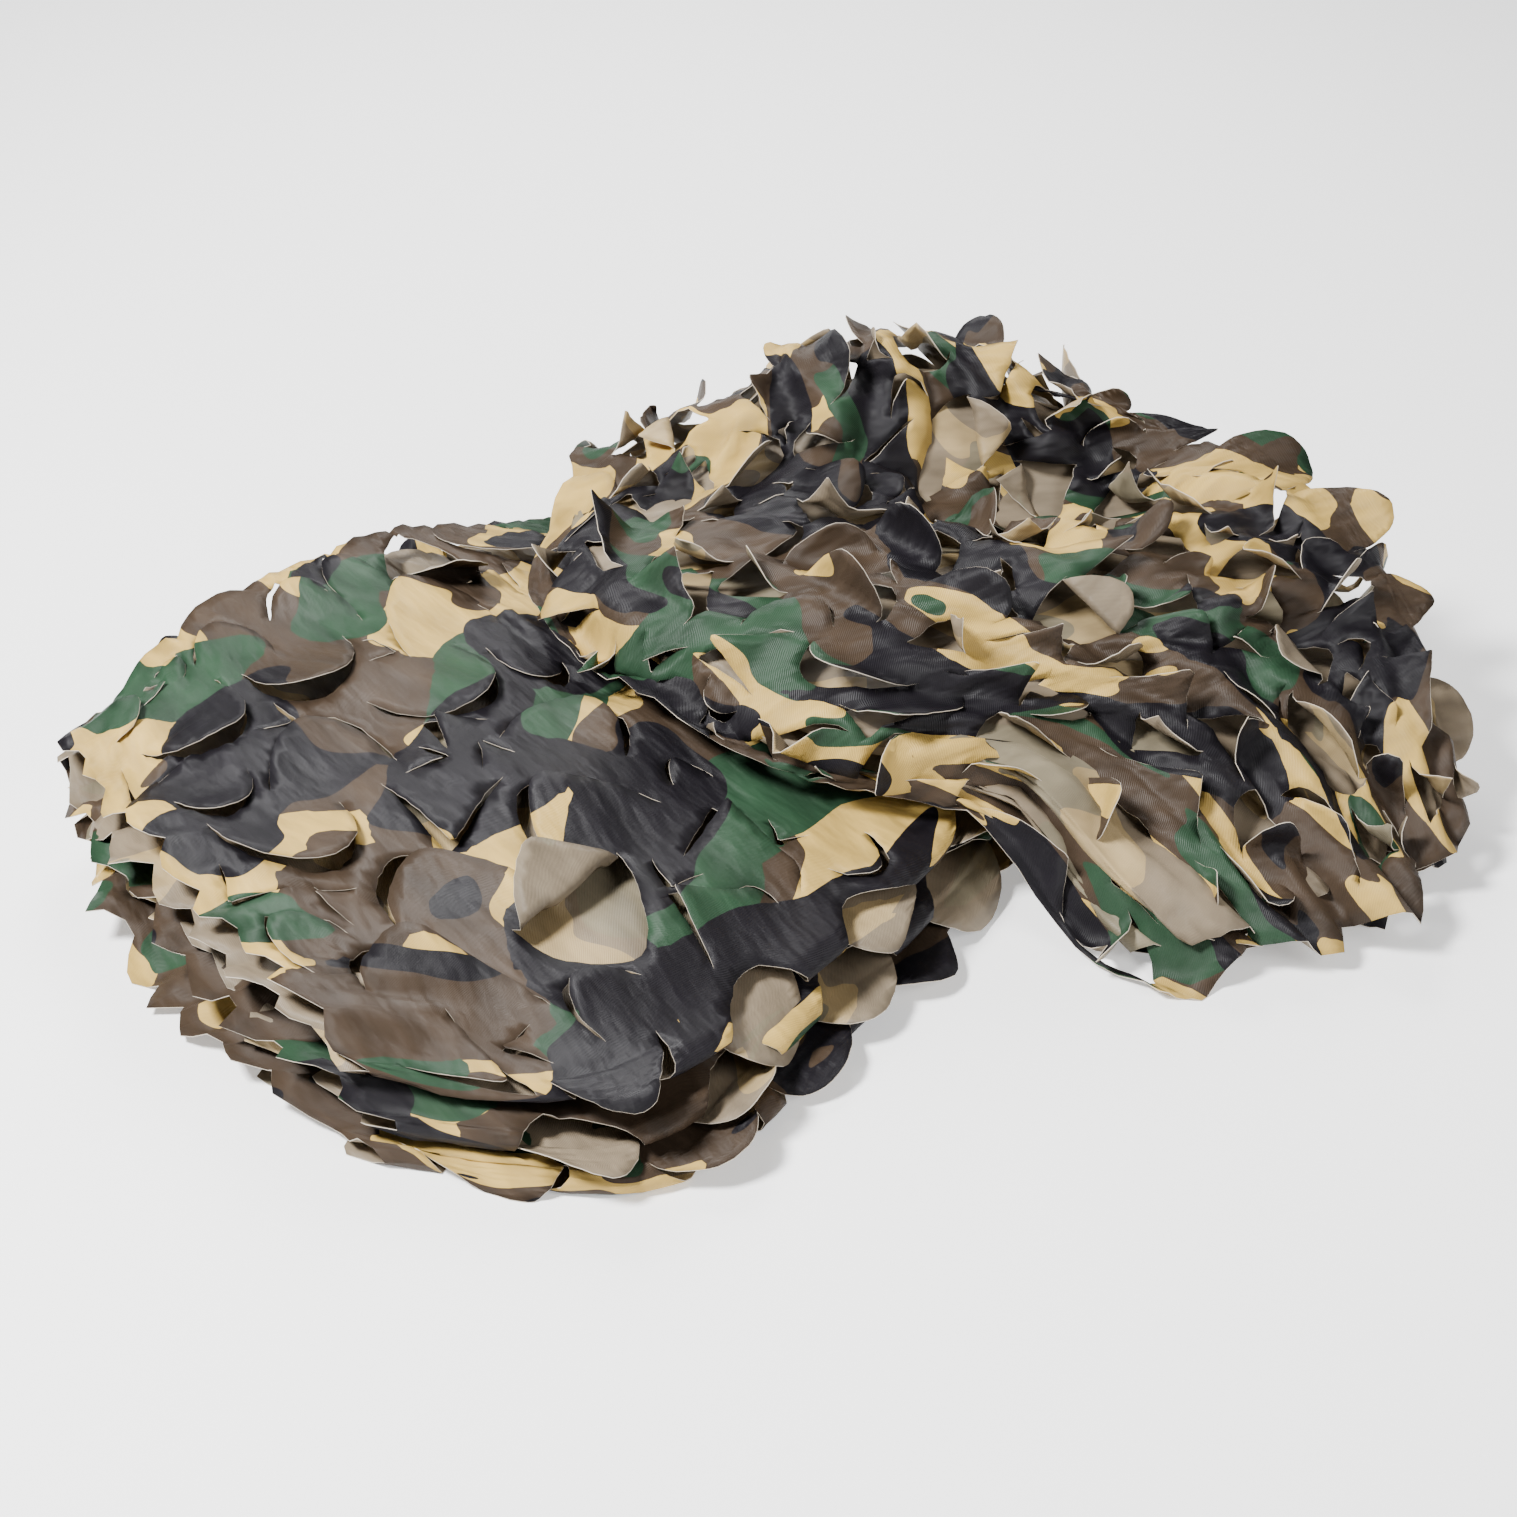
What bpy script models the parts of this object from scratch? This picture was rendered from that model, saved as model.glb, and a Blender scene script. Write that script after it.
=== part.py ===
"""A camouflage net lying folded in a loose pile on a flat surface.

The net is one cloth, 1.2 m by 2.4 m, printed on one side and cut through with rows of leaf-shaped slits.
It is folded back and forth into a strip of six panels.
The strip lies with its lower leg on the surface, turns over once at the back, and its upper leg comes to
rest across the lower one, with its free end down on the surface.

Everything is worked out on the flat cloth first: its outline, its slits and its fold lines. The flat cloth
is then laid into the pile by fold(), the leaves are bent up at their hinges, and the cloth gets its
thickness. Units are metres, +Z is up, and the origin is under the middle of the pile.
"""

import math

import bpy
import numpy as np
from mathutils import Matrix, Vector
from mathutils.bvhtree import BVHTree
from mathutils.geometry import delaunay_2d_cdt

# The flat cloth. U runs along the folded strip, V across it from panel to panel.
NET_WIDTH = 1.2
NET_LENGTH = 2.4
PANELS = 6
PANEL = NET_LENGTH / PANELS
SHEET = 0.0011
FOLD_HALF = 0.013
FOLD_BULGE = 0.009
ALONG_DRIFT = 0.012
ALONG_DRIFT_EVERY = 0.9

# How unevenly the layers lie. Each inner layer rises and falls by a share of the space between two layers,
# and each fold stands out past the strip's side, or back from it, by shares of the strip's width.
LAYER_UNEVEN = 0.20
LAYER_TURNS_ALONG = 1.3
LAYER_TURNS_ACROSS = 0.8
LAYER_PHASE = 2.4
FOLD_STANDS_OUT = 0.030
FOLD_PHASE = 2.1
FOLD_FIRST_PHASE = 0.4
FOLD_WANDERS = 0.014
FOLD_TURNS_ALONG = 1.7

# Where the strip stops lying on the surface and where it has turned over, as shares of its length.
TURN_START = 0.42
TURN_END = 0.60
TURN_REACH = (0.040, 0.090, 0.075)
INNER_REACH = 0.008
BACK = Vector((-0.06, 0.998))

# The leaf slits, on a lattice over the flat cloth with every other row shifted by half a leaf. A leaf's edge
# is drawn in shares of half its chord and of its length.
LEAF_COLUMNS = 13
PANEL_ROWS = 7
LEAF_HALF_CHORD = 0.039
LEAF_LENGTH = 0.047
LEAST_CHORD = 0.88
LEAST_LENGTH = 0.86
LEAF_SKEW = 0.35
FIRST_LEAF = 0.25
LEAF_SEED = 11
LEAF_EDGE = ((1.0, 0.0), (1.02, 0.34), (0.72, 0.74), (0.22, 1.0), (-0.40, 0.93), (-0.86, 0.58), (-1.0, 0.0))
LEAF_MIDDLE = 0.55

# How the leaves stand open: least and further lift, how few are lifted far, and how they curl out or in.
LEAST_LIFT = math.radians(16)
FURTHER_LIFT = math.radians(44)
FEW_LIFTED = 1.6
LEAF_CURL = math.radians(70)
CURLED_IN = 0.4
LEAF_NARROWING = 0.20
TURN_LEAVES_END = 0.62
TURN_LEAVES_LIFT = 0.35
LEAF_BORDER = 0.009
LEAF_APART = 0.007
OPEN_MARGIN = 0.022
GRID_APART = 0.012
ROW_SNAP = 0.0018
FOLD_STRETCH = 4.0
NEARBY = 0.004
HINGE_WITHIN = 1e-6
LEVEL_WITHIN = 1e-5

# The leaves that stand straight out of the strip's sides, where the cloth turns away behind them.
SIDE_SEED = 100
SIDE_PLACES = (0.045, 0.12, 0.195, 0.27, 0.345, 0.65, 0.725, 0.80, 0.875, 0.95)
SIDE_STAGGER = 0.025
SIDE_NUDGE = 0.012
SIDE_CHORD = 0.9
SIDE_LEAST_LENGTH = 0.9
SIDE_MORE_LENGTH = 0.14
SIDE_SKEW = 0.3
SIDE_HINGE_INSIDE = 0.020
SIDE_LIFT = math.radians(1.5)

# The cloth's grid: its columns along the strip and its rows across each panel.
#    along, rows inside each panel
COLUMNS = (
    (0.09, 3), (0.18, 3), (0.27, 3), (0.35, 3), (0.42, 4), (0.45, 4), (0.48, 4), (0.51, 4), (0.54, 4),
    (0.57, 5), (0.60, 6), (0.65, 6), (0.70, 6), (0.75, 6), (0.80, 6), (0.85, 6), (0.90, 6), (0.95, 5),
)
FOLD_ROWS = (-1.0, -0.5, 0.0, 0.5, 1.0)
SLANT = 0.12

# The pointed edge of the free ends: tips for each panel, and how far they stand out.
END_TIPS = 4
END_TIP = 0.020

# The lower leg's sections, from its free end to the turn. Left is the strip's far edge and right its near
# one, seen from the front; the four heights are the top of the stack at even steps from left to right.
#    along   left x   left y  right x  right y   bow    height of the top, left to right
LOWER = np.array([
    (0.00, -0.410, -0.004, -0.215, -0.300, 0.020, 0.080, 0.086, 0.076, 0.052),
    (0.10, -0.355, 0.105, -0.063, -0.316, 0.012, 0.095, 0.096, 0.082, 0.054),
    (0.21, -0.270, 0.180, 0.040, -0.205, 0.000, 0.098, 0.098, 0.085, 0.058),
    (0.32, -0.195, 0.215, 0.136, -0.052, 0.000, 0.100, 0.096, 0.082, 0.058),
    (TURN_START, -0.120, 0.232, 0.215, 0.235, 0.000, 0.098, 0.092, 0.084, 0.075),
])
# The upper leg's sections, from the turn to its free end. Left is now the near edge.
UPPER = np.array([
    (TURN_END, -0.112, 0.215, 0.215, 0.235, 0.000, 0.150, 0.194, 0.232, 0.190),
    (0.69, -0.118, 0.095, 0.295, 0.205, 0.000, 0.147, 0.156, 0.142, 0.170),
    (0.77, -0.060, 0.005, 0.360, 0.165, 0.000, 0.136, 0.158, 0.152, 0.158),
    (0.85, 0.030, -0.065, 0.405, 0.118, 0.000, 0.120, 0.138, 0.134, 0.119),
    (0.93, 0.157, -0.082, 0.428, 0.056, 0.000, 0.092, 0.098, 0.104, 0.096),
    (1.00, 0.268, -0.164, 0.442, -0.036, 0.008, 0.026, 0.030, 0.036, 0.042),
])
# The underside of the upper leg is set back from its top at the near edge, the far edge and the free end,
# so that the upper layers hang over the lower ones.
#    along   near edge  far edge  free end
SETBACK = np.array([
    (TURN_END, 0.000, 0.000, 0.000),
    (0.69, 0.040, 0.010, 0.000),
    (0.77, 0.045, 0.015, 0.000),
    (0.85, 0.030, 0.015, 0.000),
    (0.93, 0.015, 0.015, 0.010),
    (1.00, 0.010, 0.015, 0.030),
])
# The top of the lower leg as the upper one's underside follows it. Its right side is a line, and its height
# rises towards the left and the back. Past its right side and its near end the upper leg comes down.
RIGHT_SIDE_X = 0.176
RIGHT_SIDE_SLOPE = 0.22
LOWEST_TOP = 0.066
RISE_LEFT, LEFT_FROM, LEFT_OVER = 0.032, 0.20, 0.28
RISE_BACK, BACK_FROM, BACK_OVER = 0.010, -0.02, 0.20
NEAR_END_Y, NEAR_STEP = -0.16, 0.10
CLEAR_OVER_LOWER = 0.006
STEP_DOWN = 0.100

# Slow waves in the cloth: share of a full turn for each metre along x and y, phase, and height.
WAVES = np.array([
    (5.0, 2.0, 0.3, 0.0022),
    (-3.0, 6.5, 1.9, 0.0020),
    (9.0, -5.0, 4.0, 0.0013),
    (2.0, 11.0, 2.6, 0.0012),
])
UPPER_WAVES = 0.8
UPPER_WAVES_SHIFT = 0.3

# The finish of the cloth.
CLOTH_COLOUR = (0.11, 0.08, 0.06, 1.0)
CLOTH_ROUGHNESS = 0.6
SHARP_EDGE = math.radians(50)


def between(at, rows):
    """The rows of a table read at places along its first column, on a smooth curve through them."""
    along, values = rows[:, 0], rows[:, 1:]
    slopes = np.gradient(values, along, axis=0)
    i = np.clip(np.searchsorted(along, at) - 1, 0, len(along) - 2)
    step = (along[i + 1] - along[i])[:, None]
    inside = np.clip(at, along[0], along[-1])
    t = ((inside - along[i]) / step[:, 0])[:, None]
    start, end = values[i], values[i + 1]
    curve = (
        start * (1 + 2 * t) * (1 - t) ** 2
        + end * t * t * (3 - 2 * t)
        + slopes[i] * step * t * (1 - t) ** 2
        - slopes[i + 1] * step * t * t * (1 - t)
    )
    beyond = (at - inside)[:, None]
    return curve + beyond * np.where(beyond < 0, slopes[0], slopes[-1])


def across(heights, w):
    """The height at w, from 0 at the left edge to 1 at the right, on a curve through four heights."""
    w = np.clip(w, 0, 1)
    third, two_thirds = w - 1 / 3, w - 2 / 3
    return (
        -4.5 * third * two_thirds * (w - 1) * heights[:, 0]
        + 13.5 * w * two_thirds * (w - 1) * heights[:, 1]
        - 13.5 * w * third * (w - 1) * heights[:, 2]
        + 4.5 * w * third * two_thirds * heights[:, 3]
    )


def ease(t):
    """0 to 1, smooth at both ends."""
    t = np.clip(t, 0, 1)
    return t * t * (3 - 2 * t)


def waves(x, y):
    """The slow rise and fall of the cloth at a place."""
    return sum(
        height * np.sin(2 * math.pi * (turns_x * x + turns_y * y) + phase)
        for turns_x, turns_y, phase, height in WAVES
    )


def section_plan(rows, w):
    """The places at w on sections from left to right, bowed out at their middle."""
    left, right, bow = rows[:, 0:2], rows[:, 2:4], rows[:, 4]
    chord = right - left
    out = np.stack([chord[:, 1], -chord[:, 0]], axis=1) / np.linalg.norm(chord, axis=1)[:, None]
    return left + chord * w[:, None] + out * (bow * 4 * w * (1 - w))[:, None]


def lower_skins(along, w):
    """The floor side and the top of the lower leg."""
    rows = between(along, LOWER)
    x, y = section_plan(rows, w).T
    top = across(rows[:, 5:9], w) + waves(x, y)
    return np.stack([x, y, np.full_like(x, SHEET / 2)], 1), np.stack([x, y, top], 1)


def support(x, y):
    """How high the upper leg's underside lies: over the lower leg, then down to the surface beside it."""
    over = 1 - ease((x - RIGHT_SIDE_X - RIGHT_SIDE_SLOPE * y) / STEP_DOWN)
    near = ease((y - NEAR_END_Y) / NEAR_STEP)
    top = LOWEST_TOP + RISE_LEFT * ease((LEFT_FROM - x) / LEFT_OVER)
    top += RISE_BACK * ease((y - BACK_FROM) / BACK_OVER) + waves(x, y)
    return SHEET / 2 + (top + CLEAR_OVER_LOWER) * over * near


def upper_skins(along, w):
    """The top and the underside of the upper leg."""
    rows, back = between(along, UPPER), between(along, SETBACK)
    x, y = section_plan(rows, w).T
    top = np.stack([x, y, across(rows[:, 5:9], w) + UPPER_WAVES * waves(x + UPPER_WAVES_SHIFT, y)], 1)
    chord = rows[:, 2:4] - rows[:, 0:2]
    long = np.linalg.norm(chord, axis=1)[:, None]
    chord /= long
    ahead = np.stack([chord[:, 1], -chord[:, 0]], axis=1)
    inner = rows.copy()
    inner[:, 0:2] += chord * back[:, 0:1] - ahead * back[:, 2:3]
    inner[:, 2:4] -= chord * back[:, 1:2] + ahead * back[:, 2:3]
    x, y = section_plan(inner, w).T
    return top, np.stack([x, y, support(x, y)], 1)


def turn_point(along, w, level):
    """A point of the strip where it turns over at the back, level 0 outside and 1 inside."""
    start, end = np.full_like(along, TURN_START), np.full_like(along, TURN_END)
    outer_low, inner_low = lower_skins(start, w)
    outer_high, inner_high = upper_skins(end, w)
    low = outer_low + (inner_low - outer_low) * level[:, None]
    high = outer_high + (inner_high - outer_high) * level[:, None]
    angle = math.pi * ((along - TURN_START) / (TURN_END - TURN_START) - 0.5)
    outer_reach = np.interp(w, (0.0, 0.5, 1.0), TURN_REACH)
    reach = outer_reach + (INNER_REACH - outer_reach) * level
    middle, half = (low + high) / 2, (high - low) / 2
    point = middle + half * np.sin(angle)[:, None]
    point[:, 0] += BACK.x * reach * np.cos(angle)
    point[:, 1] += BACK.y * reach * np.cos(angle)
    return point


def strip_point(along, w, level):
    """A point of the folded strip: along it, across it, and from level 0 outside to level 1 inside."""
    point = turn_point(along, w, level)
    for where, skins in ((along < TURN_START, lower_skins), (along > TURN_END, upper_skins)):
        if where.any():
            outer, inner = skins(along[where], w[where])
            point[where] = outer + (inner - outer) * level[where, None]
    return point


def layer_level(layer, along, w):
    """The level of a layer in the stack. The layers between the outer two lie a little unevenly."""
    inner = (layer > 0) & (layer < PANELS - 1)
    turns = LAYER_TURNS_ALONG * along + LAYER_TURNS_ACROSS * w
    uneven = LAYER_UNEVEN * np.sin(2 * math.pi * turns + LAYER_PHASE * layer)
    return (layer + np.where(inner, uneven, 0.0)) / (PANELS - 1)


def edge_shift(fold_number, along):
    """How far a fold or a free edge stands out past the strip's side, as a share of the strip's width."""
    whole = FOLD_STANDS_OUT * np.sin(FOLD_PHASE * fold_number + FOLD_FIRST_PHASE)
    return whole + FOLD_WANDERS * np.sin(2 * math.pi * FOLD_TURNS_ALONG * along + fold_number)


def along_drift(v):
    """How far each panel has slipped along the strip."""
    return ALONG_DRIFT * np.sin(2 * math.pi * v / ALONG_DRIFT_EVERY)


def fold(u, v):
    """Where the points (u, v) of the flat cloth lie in the pile."""
    layer = np.clip(np.floor(v / PANEL), 0, PANELS - 1)
    start, end = v - layer * PANEL, (layer + 1) * PANEL - v
    start_half = np.where(layer > 0, FOLD_HALF, 0.0)
    end_half = np.where(layer < PANELS - 1, FOLD_HALF, 0.0)
    share = np.clip((start - start_half) / (PANEL - start_half - end_half), 0, 1)
    along = u / NET_WIDTH + along_drift(v)
    odd = layer % 2 == 1
    first = np.where(odd, 1 + edge_shift(layer, along), -edge_shift(layer, along))
    last = np.where(odd, -edge_shift(layer + 1, along), 1 + edge_shift(layer + 1, along))
    w = first + (last - first) * share
    turn_back = np.where(layer > 0, np.clip(1 - start / FOLD_HALF, 0, 1), 0.0)
    turn_on = np.where(layer < PANELS - 1, np.clip(1 - end / FOLD_HALF, 0, 1), 0.0)
    neighbour = layer + (turn_on > 0) - (turn_back > 0)
    angle = np.maximum(turn_back, turn_on) * math.pi / 2
    level = layer_level(layer, along, w)
    level += (layer_level(neighbour, along, w) - level) / 2 * (1 - np.cos(angle))
    outward = np.where((turn_on > 0) ^ odd, 1.0, -1.0)
    w = w + outward * np.sin(angle) * FOLD_BULGE / PANEL
    return strip_point(along, w, level)


def leaf(hinge, way, half, length, skew, lift, curl):
    """One leaf: where its hinge's middle is, which way along v it points, its size, and how it bends up."""
    return {
        "hinge": (hinge[0], on_row(hinge[1])), "way": way, "half": half, "length": length,
        "skew": skew, "lift": lift, "curl": curl,
    }


def leaf_flat(one, p, q):
    """The place on the flat cloth of the point p along a leaf's hinge and q out from it."""
    return one["hinge"][0] + p + one["skew"] * q, one["hinge"][1] + one["way"] * q


def leaf_local(one, u, v):
    """The reverse of leaf_flat."""
    q = (v - one["hinge"][1]) * one["way"]
    return u - one["hinge"][0] - one["skew"] * q, q


def fold_lines():
    """The rows that follow the round of every fold, as places across the flat cloth."""
    return [(number * PANEL + part * FOLD_HALF) for number in range(1, PANELS) for part in FOLD_ROWS]


def on_row(v):
    """A place across the cloth, moved onto a fold's row where it lies very near one."""
    return next((line for line in fold_lines() if abs(v - line) < ROW_SNAP), v)


def leaf_outline(one):
    """A leaf's edge on the flat cloth, from one end of its hinge to the other, with a point on every row."""
    corners = [leaf_flat(one, x * one["half"], y * one["length"]) for x, y in LEAF_EDGE]
    corners = [(u, on_row(v)) for u, v in corners]
    outline = []
    for (u0, v0), (u1, v1) in zip(corners, corners[1:]):
        crossed = [line for line in fold_lines() if min(v0, v1) < line < max(v0, v1)]
        outline.append((u0, v0))
        outline += [
            (u0 + (line - v0) / (v1 - v0) * (u1 - u0), line)
            for line in sorted(crossed, reverse=bool(v0 > v1))
        ]
    return outline + [corners[-1]]


def lattice_leaves(panel, first_along, last_along):
    """The leaves of one panel's lattice between two places along the strip."""
    chance = np.random.default_rng(LEAF_SEED + panel)
    pitch_u, pitch_v = NET_WIDTH / LEAF_COLUMNS, (PANEL - LEAF_BORDER) / PANEL_ROWS
    first_v = panel * PANEL + (0.0 if panel else LEAF_BORDER)
    leaves = []
    for row in range(PANEL_ROWS):
        for column in range(LEAF_COLUMNS):
            side, size, width, skew, lift, curl = chance.random(6)
            u = (column + FIRST_LEAF + 0.5 * (row % 2)) * pitch_u
            way = 1 if side < 0.5 else -1
            half = LEAF_HALF_CHORD * (LEAST_CHORD + (1 - LEAST_CHORD) * width)
            length = LEAF_LENGTH * (LEAST_LENGTH + (1 - LEAST_LENGTH) * size)
            v = first_v + (row + 0.5) * pitch_v - way * length / 2
            if first_along < u / NET_WIDTH < last_along:
                opened = LEAST_LIFT + FURTHER_LIFT * lift ** FEW_LIFTED
                if u / NET_WIDTH < TURN_LEAVES_END and panel == 0:
                    opened *= TURN_LEAVES_LIFT
                bend = LEAF_CURL * (curl - CURLED_IN)
                leaves.append(leaf((u, v), way, half, length, LEAF_SKEW * (skew - 0.5), opened, bend))
    return leaves


def side_leaves():
    """The leaves at the fold lines, pointing out of the strip's sides."""
    chance = np.random.default_rng(LEAF_SEED + SIDE_SEED)
    leaves = []
    for fold_number in range(1, PANELS):
        for place in SIDE_PLACES:
            nudge, size, skew, side = chance.random(4)
            u = (place + SIDE_STAGGER * (fold_number // 2)) * NET_WIDTH + SIDE_NUDGE * (nudge - 0.5)
            way = 1 if side < 0.5 else -1
            half = LEAF_HALF_CHORD * SIDE_CHORD
            length = LEAF_LENGTH * (SIDE_LEAST_LENGTH + SIDE_MORE_LENGTH * size)
            v = fold_number * PANEL - way * SIDE_HINGE_INSIDE
            lift = SIDE_LIFT if fold_number % 2 else -SIDE_LIFT
            leaves.append(leaf((u, v), way, half, length, SIDE_SKEW * (skew - 0.5), lift, 0.0))
    return leaves


def upper_leg_plan():
    """The outline of the upper leg seen from above."""
    return [tuple(row[1:3]) for row in UPPER] + [tuple(row[3:5]) for row in UPPER[::-1]]


def inside(polygon, x, y):
    """Whether a point lies inside a polygon."""
    found = False
    for (x0, y0), (x1, y1) in zip(polygon, polygon[1:] + polygon[:1]):
        if (y0 > y) != (y1 > y) and x < x0 + (y - y0) / (y1 - y0) * (x1 - x0):
            found = not found
    return found


def lies_open(one, plan):
    """Whether nothing lies over a leaf of the lower leg."""
    corners = np.array(leaf_outline(one))
    spots = fold(corners[:, 0], corners[:, 1])
    middle = np.array(plan).mean(axis=0)
    return not any(
        inside(plan, *(spot[:2] + OPEN_MARGIN * (middle - spot[:2]) / np.linalg.norm(middle - spot[:2])))
        for spot in spots
    )


def clear_of(one, others):
    """Whether a leaf's outline keeps its distance from the leaves already chosen."""
    own = np.array(leaf_outline(one))
    for other in others:
        if math.dist(one["hinge"], other["hinge"]) > 3 * LEAF_LENGTH:
            continue
        apart = own[:, None] - np.array(leaf_outline(other))[None]
        if np.linalg.norm(apart, axis=2).min() < LEAF_APART:
            return False
        outline = leaf_outline(other)
        if any(inside(outline, *spot) for spot in own) or inside(leaf_outline(one), *outline[2]):
            return False
    return True


def chosen_leaves():
    """The leaves that stand open: on the top of each leg, over the turn and out of the sides."""
    plan = upper_leg_plan()
    top = lattice_leaves(PANELS - 1, 0.0, TURN_START)
    candidates = side_leaves()
    candidates += [one for one in top if lies_open(one, plan)]
    candidates += lattice_leaves(0, TURN_START, 1.0)
    leaves = []
    for one in candidates:
        spots = leaf_outline(one)
        on_cloth = all(
            LEAF_BORDER < u < NET_WIDTH - LEAF_BORDER and LEAF_BORDER < v < NET_LENGTH - LEAF_BORDER
            for u, v in spots
        )
        if on_cloth and clear_of(one, leaves):
            leaves.append(one)
    return leaves


def row_places(inner):
    """Where the grid's rows lie across the flat cloth, with so many inside each panel."""
    rows = [0.0]
    for panel in range(PANELS):
        first = panel * PANEL + (FOLD_HALF if panel else 0.0)
        last = (panel + 1) * PANEL - (FOLD_HALF if panel < PANELS - 1 else 0.0)
        rows += list(np.linspace(first, last, inner + 2)[1:-1])
        if panel < PANELS - 1:
            rows += [(panel + 1) * PANEL + part * FOLD_HALF for part in FOLD_ROWS]
    return rows + [NET_LENGTH]


def end_places():
    """The pointed edge of the cloth's free ends: places across it and how far out each stands."""
    tips = PANELS * END_TIPS
    places = {round(v, 5): 0.5 * END_TIP for v in row_places(0)}
    for tip in range(tips):
        places[round((tip + 0.5) * NET_LENGTH / tips, 5)] = END_TIP
        if tip:
            places.setdefault(round(tip * NET_LENGTH / tips, 5), 0.0)
    return sorted(places.items())


def drawn(u, v):
    """The flat cloth as it is cut into triangles: its folds drawn wide, and its panels slanted by turns."""
    wide = v
    for fold_number in range(1, PANELS):
        wide += (FOLD_STRETCH - 1) * min(max(v - fold_number * PANEL + FOLD_HALF, 0.0), 2 * FOLD_HALF)
    turn = v % (2 * PANEL)
    slant = SLANT * min(turn, 2 * PANEL - turn)
    return Vector((u + NET_WIDTH * along_drift(v) + slant, wide))


def grid_column(at, v):
    """The place along the flat cloth of a grid column at one row."""
    return (at - along_drift(v)) * NET_WIDTH


def cloth_outline():
    """The cloth's four edges as one loop of places."""
    ends = end_places()
    loop = [(-out, v) for v, out in ends[::-1]]
    loop += [(grid_column(at, 0.0), 0.0) for at, _ in COLUMNS]
    loop += [(NET_WIDTH + out, v) for v, out in ends]
    loop += [(grid_column(at, NET_LENGTH), NET_LENGTH) for at, _ in COLUMNS[::-1]]
    return loop


def grid_places(outlines):
    """The grid's places inside the cloth that keep clear of the leaves."""
    taken = np.array([drawn(*spot) for spots in outlines for spot in spots] or [(-1.0, -1.0)])
    places = []
    for at, inner in COLUMNS:
        for v in row_places(inner)[1:-1]:
            spot = (grid_column(at, v), v)
            near = np.linalg.norm(taken - drawn(*spot), axis=1).min() < GRID_APART
            if not near and not any(inside(spots, *spot) for spots in outlines):
                places.append(spot)
    return places


def row_edges(points, outlines):
    """The lines along every fold's rows, broken where a leaf is."""
    edges = []
    for line in fold_lines():
        row = sorted((u, i) for i, (u, v) in enumerate(points) if abs(v - line) < HINGE_WITHIN)
        for (u0, first), (u1, second) in zip(row, row[1:]):
            if not any(inside(outline, (u0 + u1) / 2, line) for outline in outlines):
                edges.append((first, second))
    return edges


def flat_cloth(leaves):
    """The flat cloth in triangles: its points, its faces, and the leaf that each face lies in or -1."""
    points = cloth_outline()
    edges = [(i, (i + 1) % len(points)) for i in range(len(points))]
    outlines = [leaf_outline(one) for one in leaves]
    for spots in outlines:
        first = len(points)
        points += spots
        edges += [(first + i, first + (i + 1) % len(spots)) for i in range(len(spots))]
    points += grid_places(outlines)
    edges += row_edges(points, outlines)
    points += [leaf_flat(one, 0.0, LEAF_MIDDLE * one["length"]) for one in leaves]
    found = delaunay_2d_cdt([drawn(u, v) for u, v in points], edges, [], 1, 1e-7)
    faces = found[2]
    places = np.array([points[origins[0]] for origins in found[3]])
    middles = np.array([places[list(face)].mean(axis=0) for face in faces])
    owner = np.full(len(faces), -1)
    for number, one in enumerate(leaves):
        close = np.linalg.norm(middles - np.array(one["hinge"]), axis=1) < 2 * one["length"]
        for index in np.nonzero(close)[0]:
            if inside(outlines[number], *middles[index]):
                owner[index] = number
    return places, faces, owner


def directions(u, v):
    """At places on the flat cloth: the way across it and the way out of its printed face, in the pile."""
    along = fold(u + NEARBY, v) - fold(u - NEARBY, v)
    over = fold(u, v + NEARBY) - fold(u, v - NEARBY)
    normal = np.cross(along, over)
    return over / np.linalg.norm(over, axis=1)[:, None], normal / np.linalg.norm(normal, axis=1)[:, None]


def leaf_shape(one, places):
    """Where points of a leaf lie once it is bent up at its hinge."""
    p, q = leaf_local(one, places[:, 0], places[:, 1])
    share = np.maximum(q, 0.0) / one["length"]
    foot_u = one["hinge"][0] + p * (1 - LEAF_NARROWING * share)
    foot_v = np.full_like(foot_u, one["hinge"][1])
    over, normal = directions(foot_u, foot_v)
    angle = one["lift"] + one["curl"] * share / 2
    out = over * (one["way"] * np.cos(angle))[:, None] + normal * np.sin(angle)[:, None]
    return list(fold(foot_u, foot_v) + out * q[:, None])


def net_points(leaves, places, faces, owner):
    """The cloth in the pile: its points, its faces, and for each point the leaf that it moves with or -1."""
    spots = list(fold(places[:, 0], places[:, 1]))
    new_faces = [list(face) for face in faces]
    moves_with = [-1] * len(spots)
    for number, one in enumerate(leaves):
        own = [index for index in range(len(faces)) if owner[index] == number]
        used = sorted({corner for index in own for corner in faces[index]})
        free = [corner for corner in used if leaf_local(one, *places[corner])[1] > HINGE_WITHIN]
        copies = {corner: len(spots) + i for i, corner in enumerate(free)}
        spots += leaf_shape(one, places[free])
        moves_with += [number] * len(free)
        for index in own:
            new_faces[index] = [copies.get(corner, corner) for corner in new_faces[index]]
    return spots, new_faces, moves_with


def sheet(leaves):
    """The net with these leaves open as one thick sheet, and the leaf that each of its points moves with."""
    spots, faces, moves_with = net_points(leaves, *flat_cloth(leaves))
    used = sorted({corner for face in faces for corner in face})
    number = {corner: i for i, corner in enumerate(used)}
    mesh = bpy.data.meshes.new("camouflage_net")
    mesh.from_pydata(
        [tuple(spots[corner]) for corner in used], [], [[number[corner] for corner in face] for face in faces]
    )
    body = bpy.data.objects.new("camouflage_net", mesh)
    thicken = body.modifiers.new("thickness", "SOLIDIFY")
    thicken.thickness = SHEET
    thicken.offset = 0.0
    return body, [moves_with[corner] for corner in used]


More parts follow.
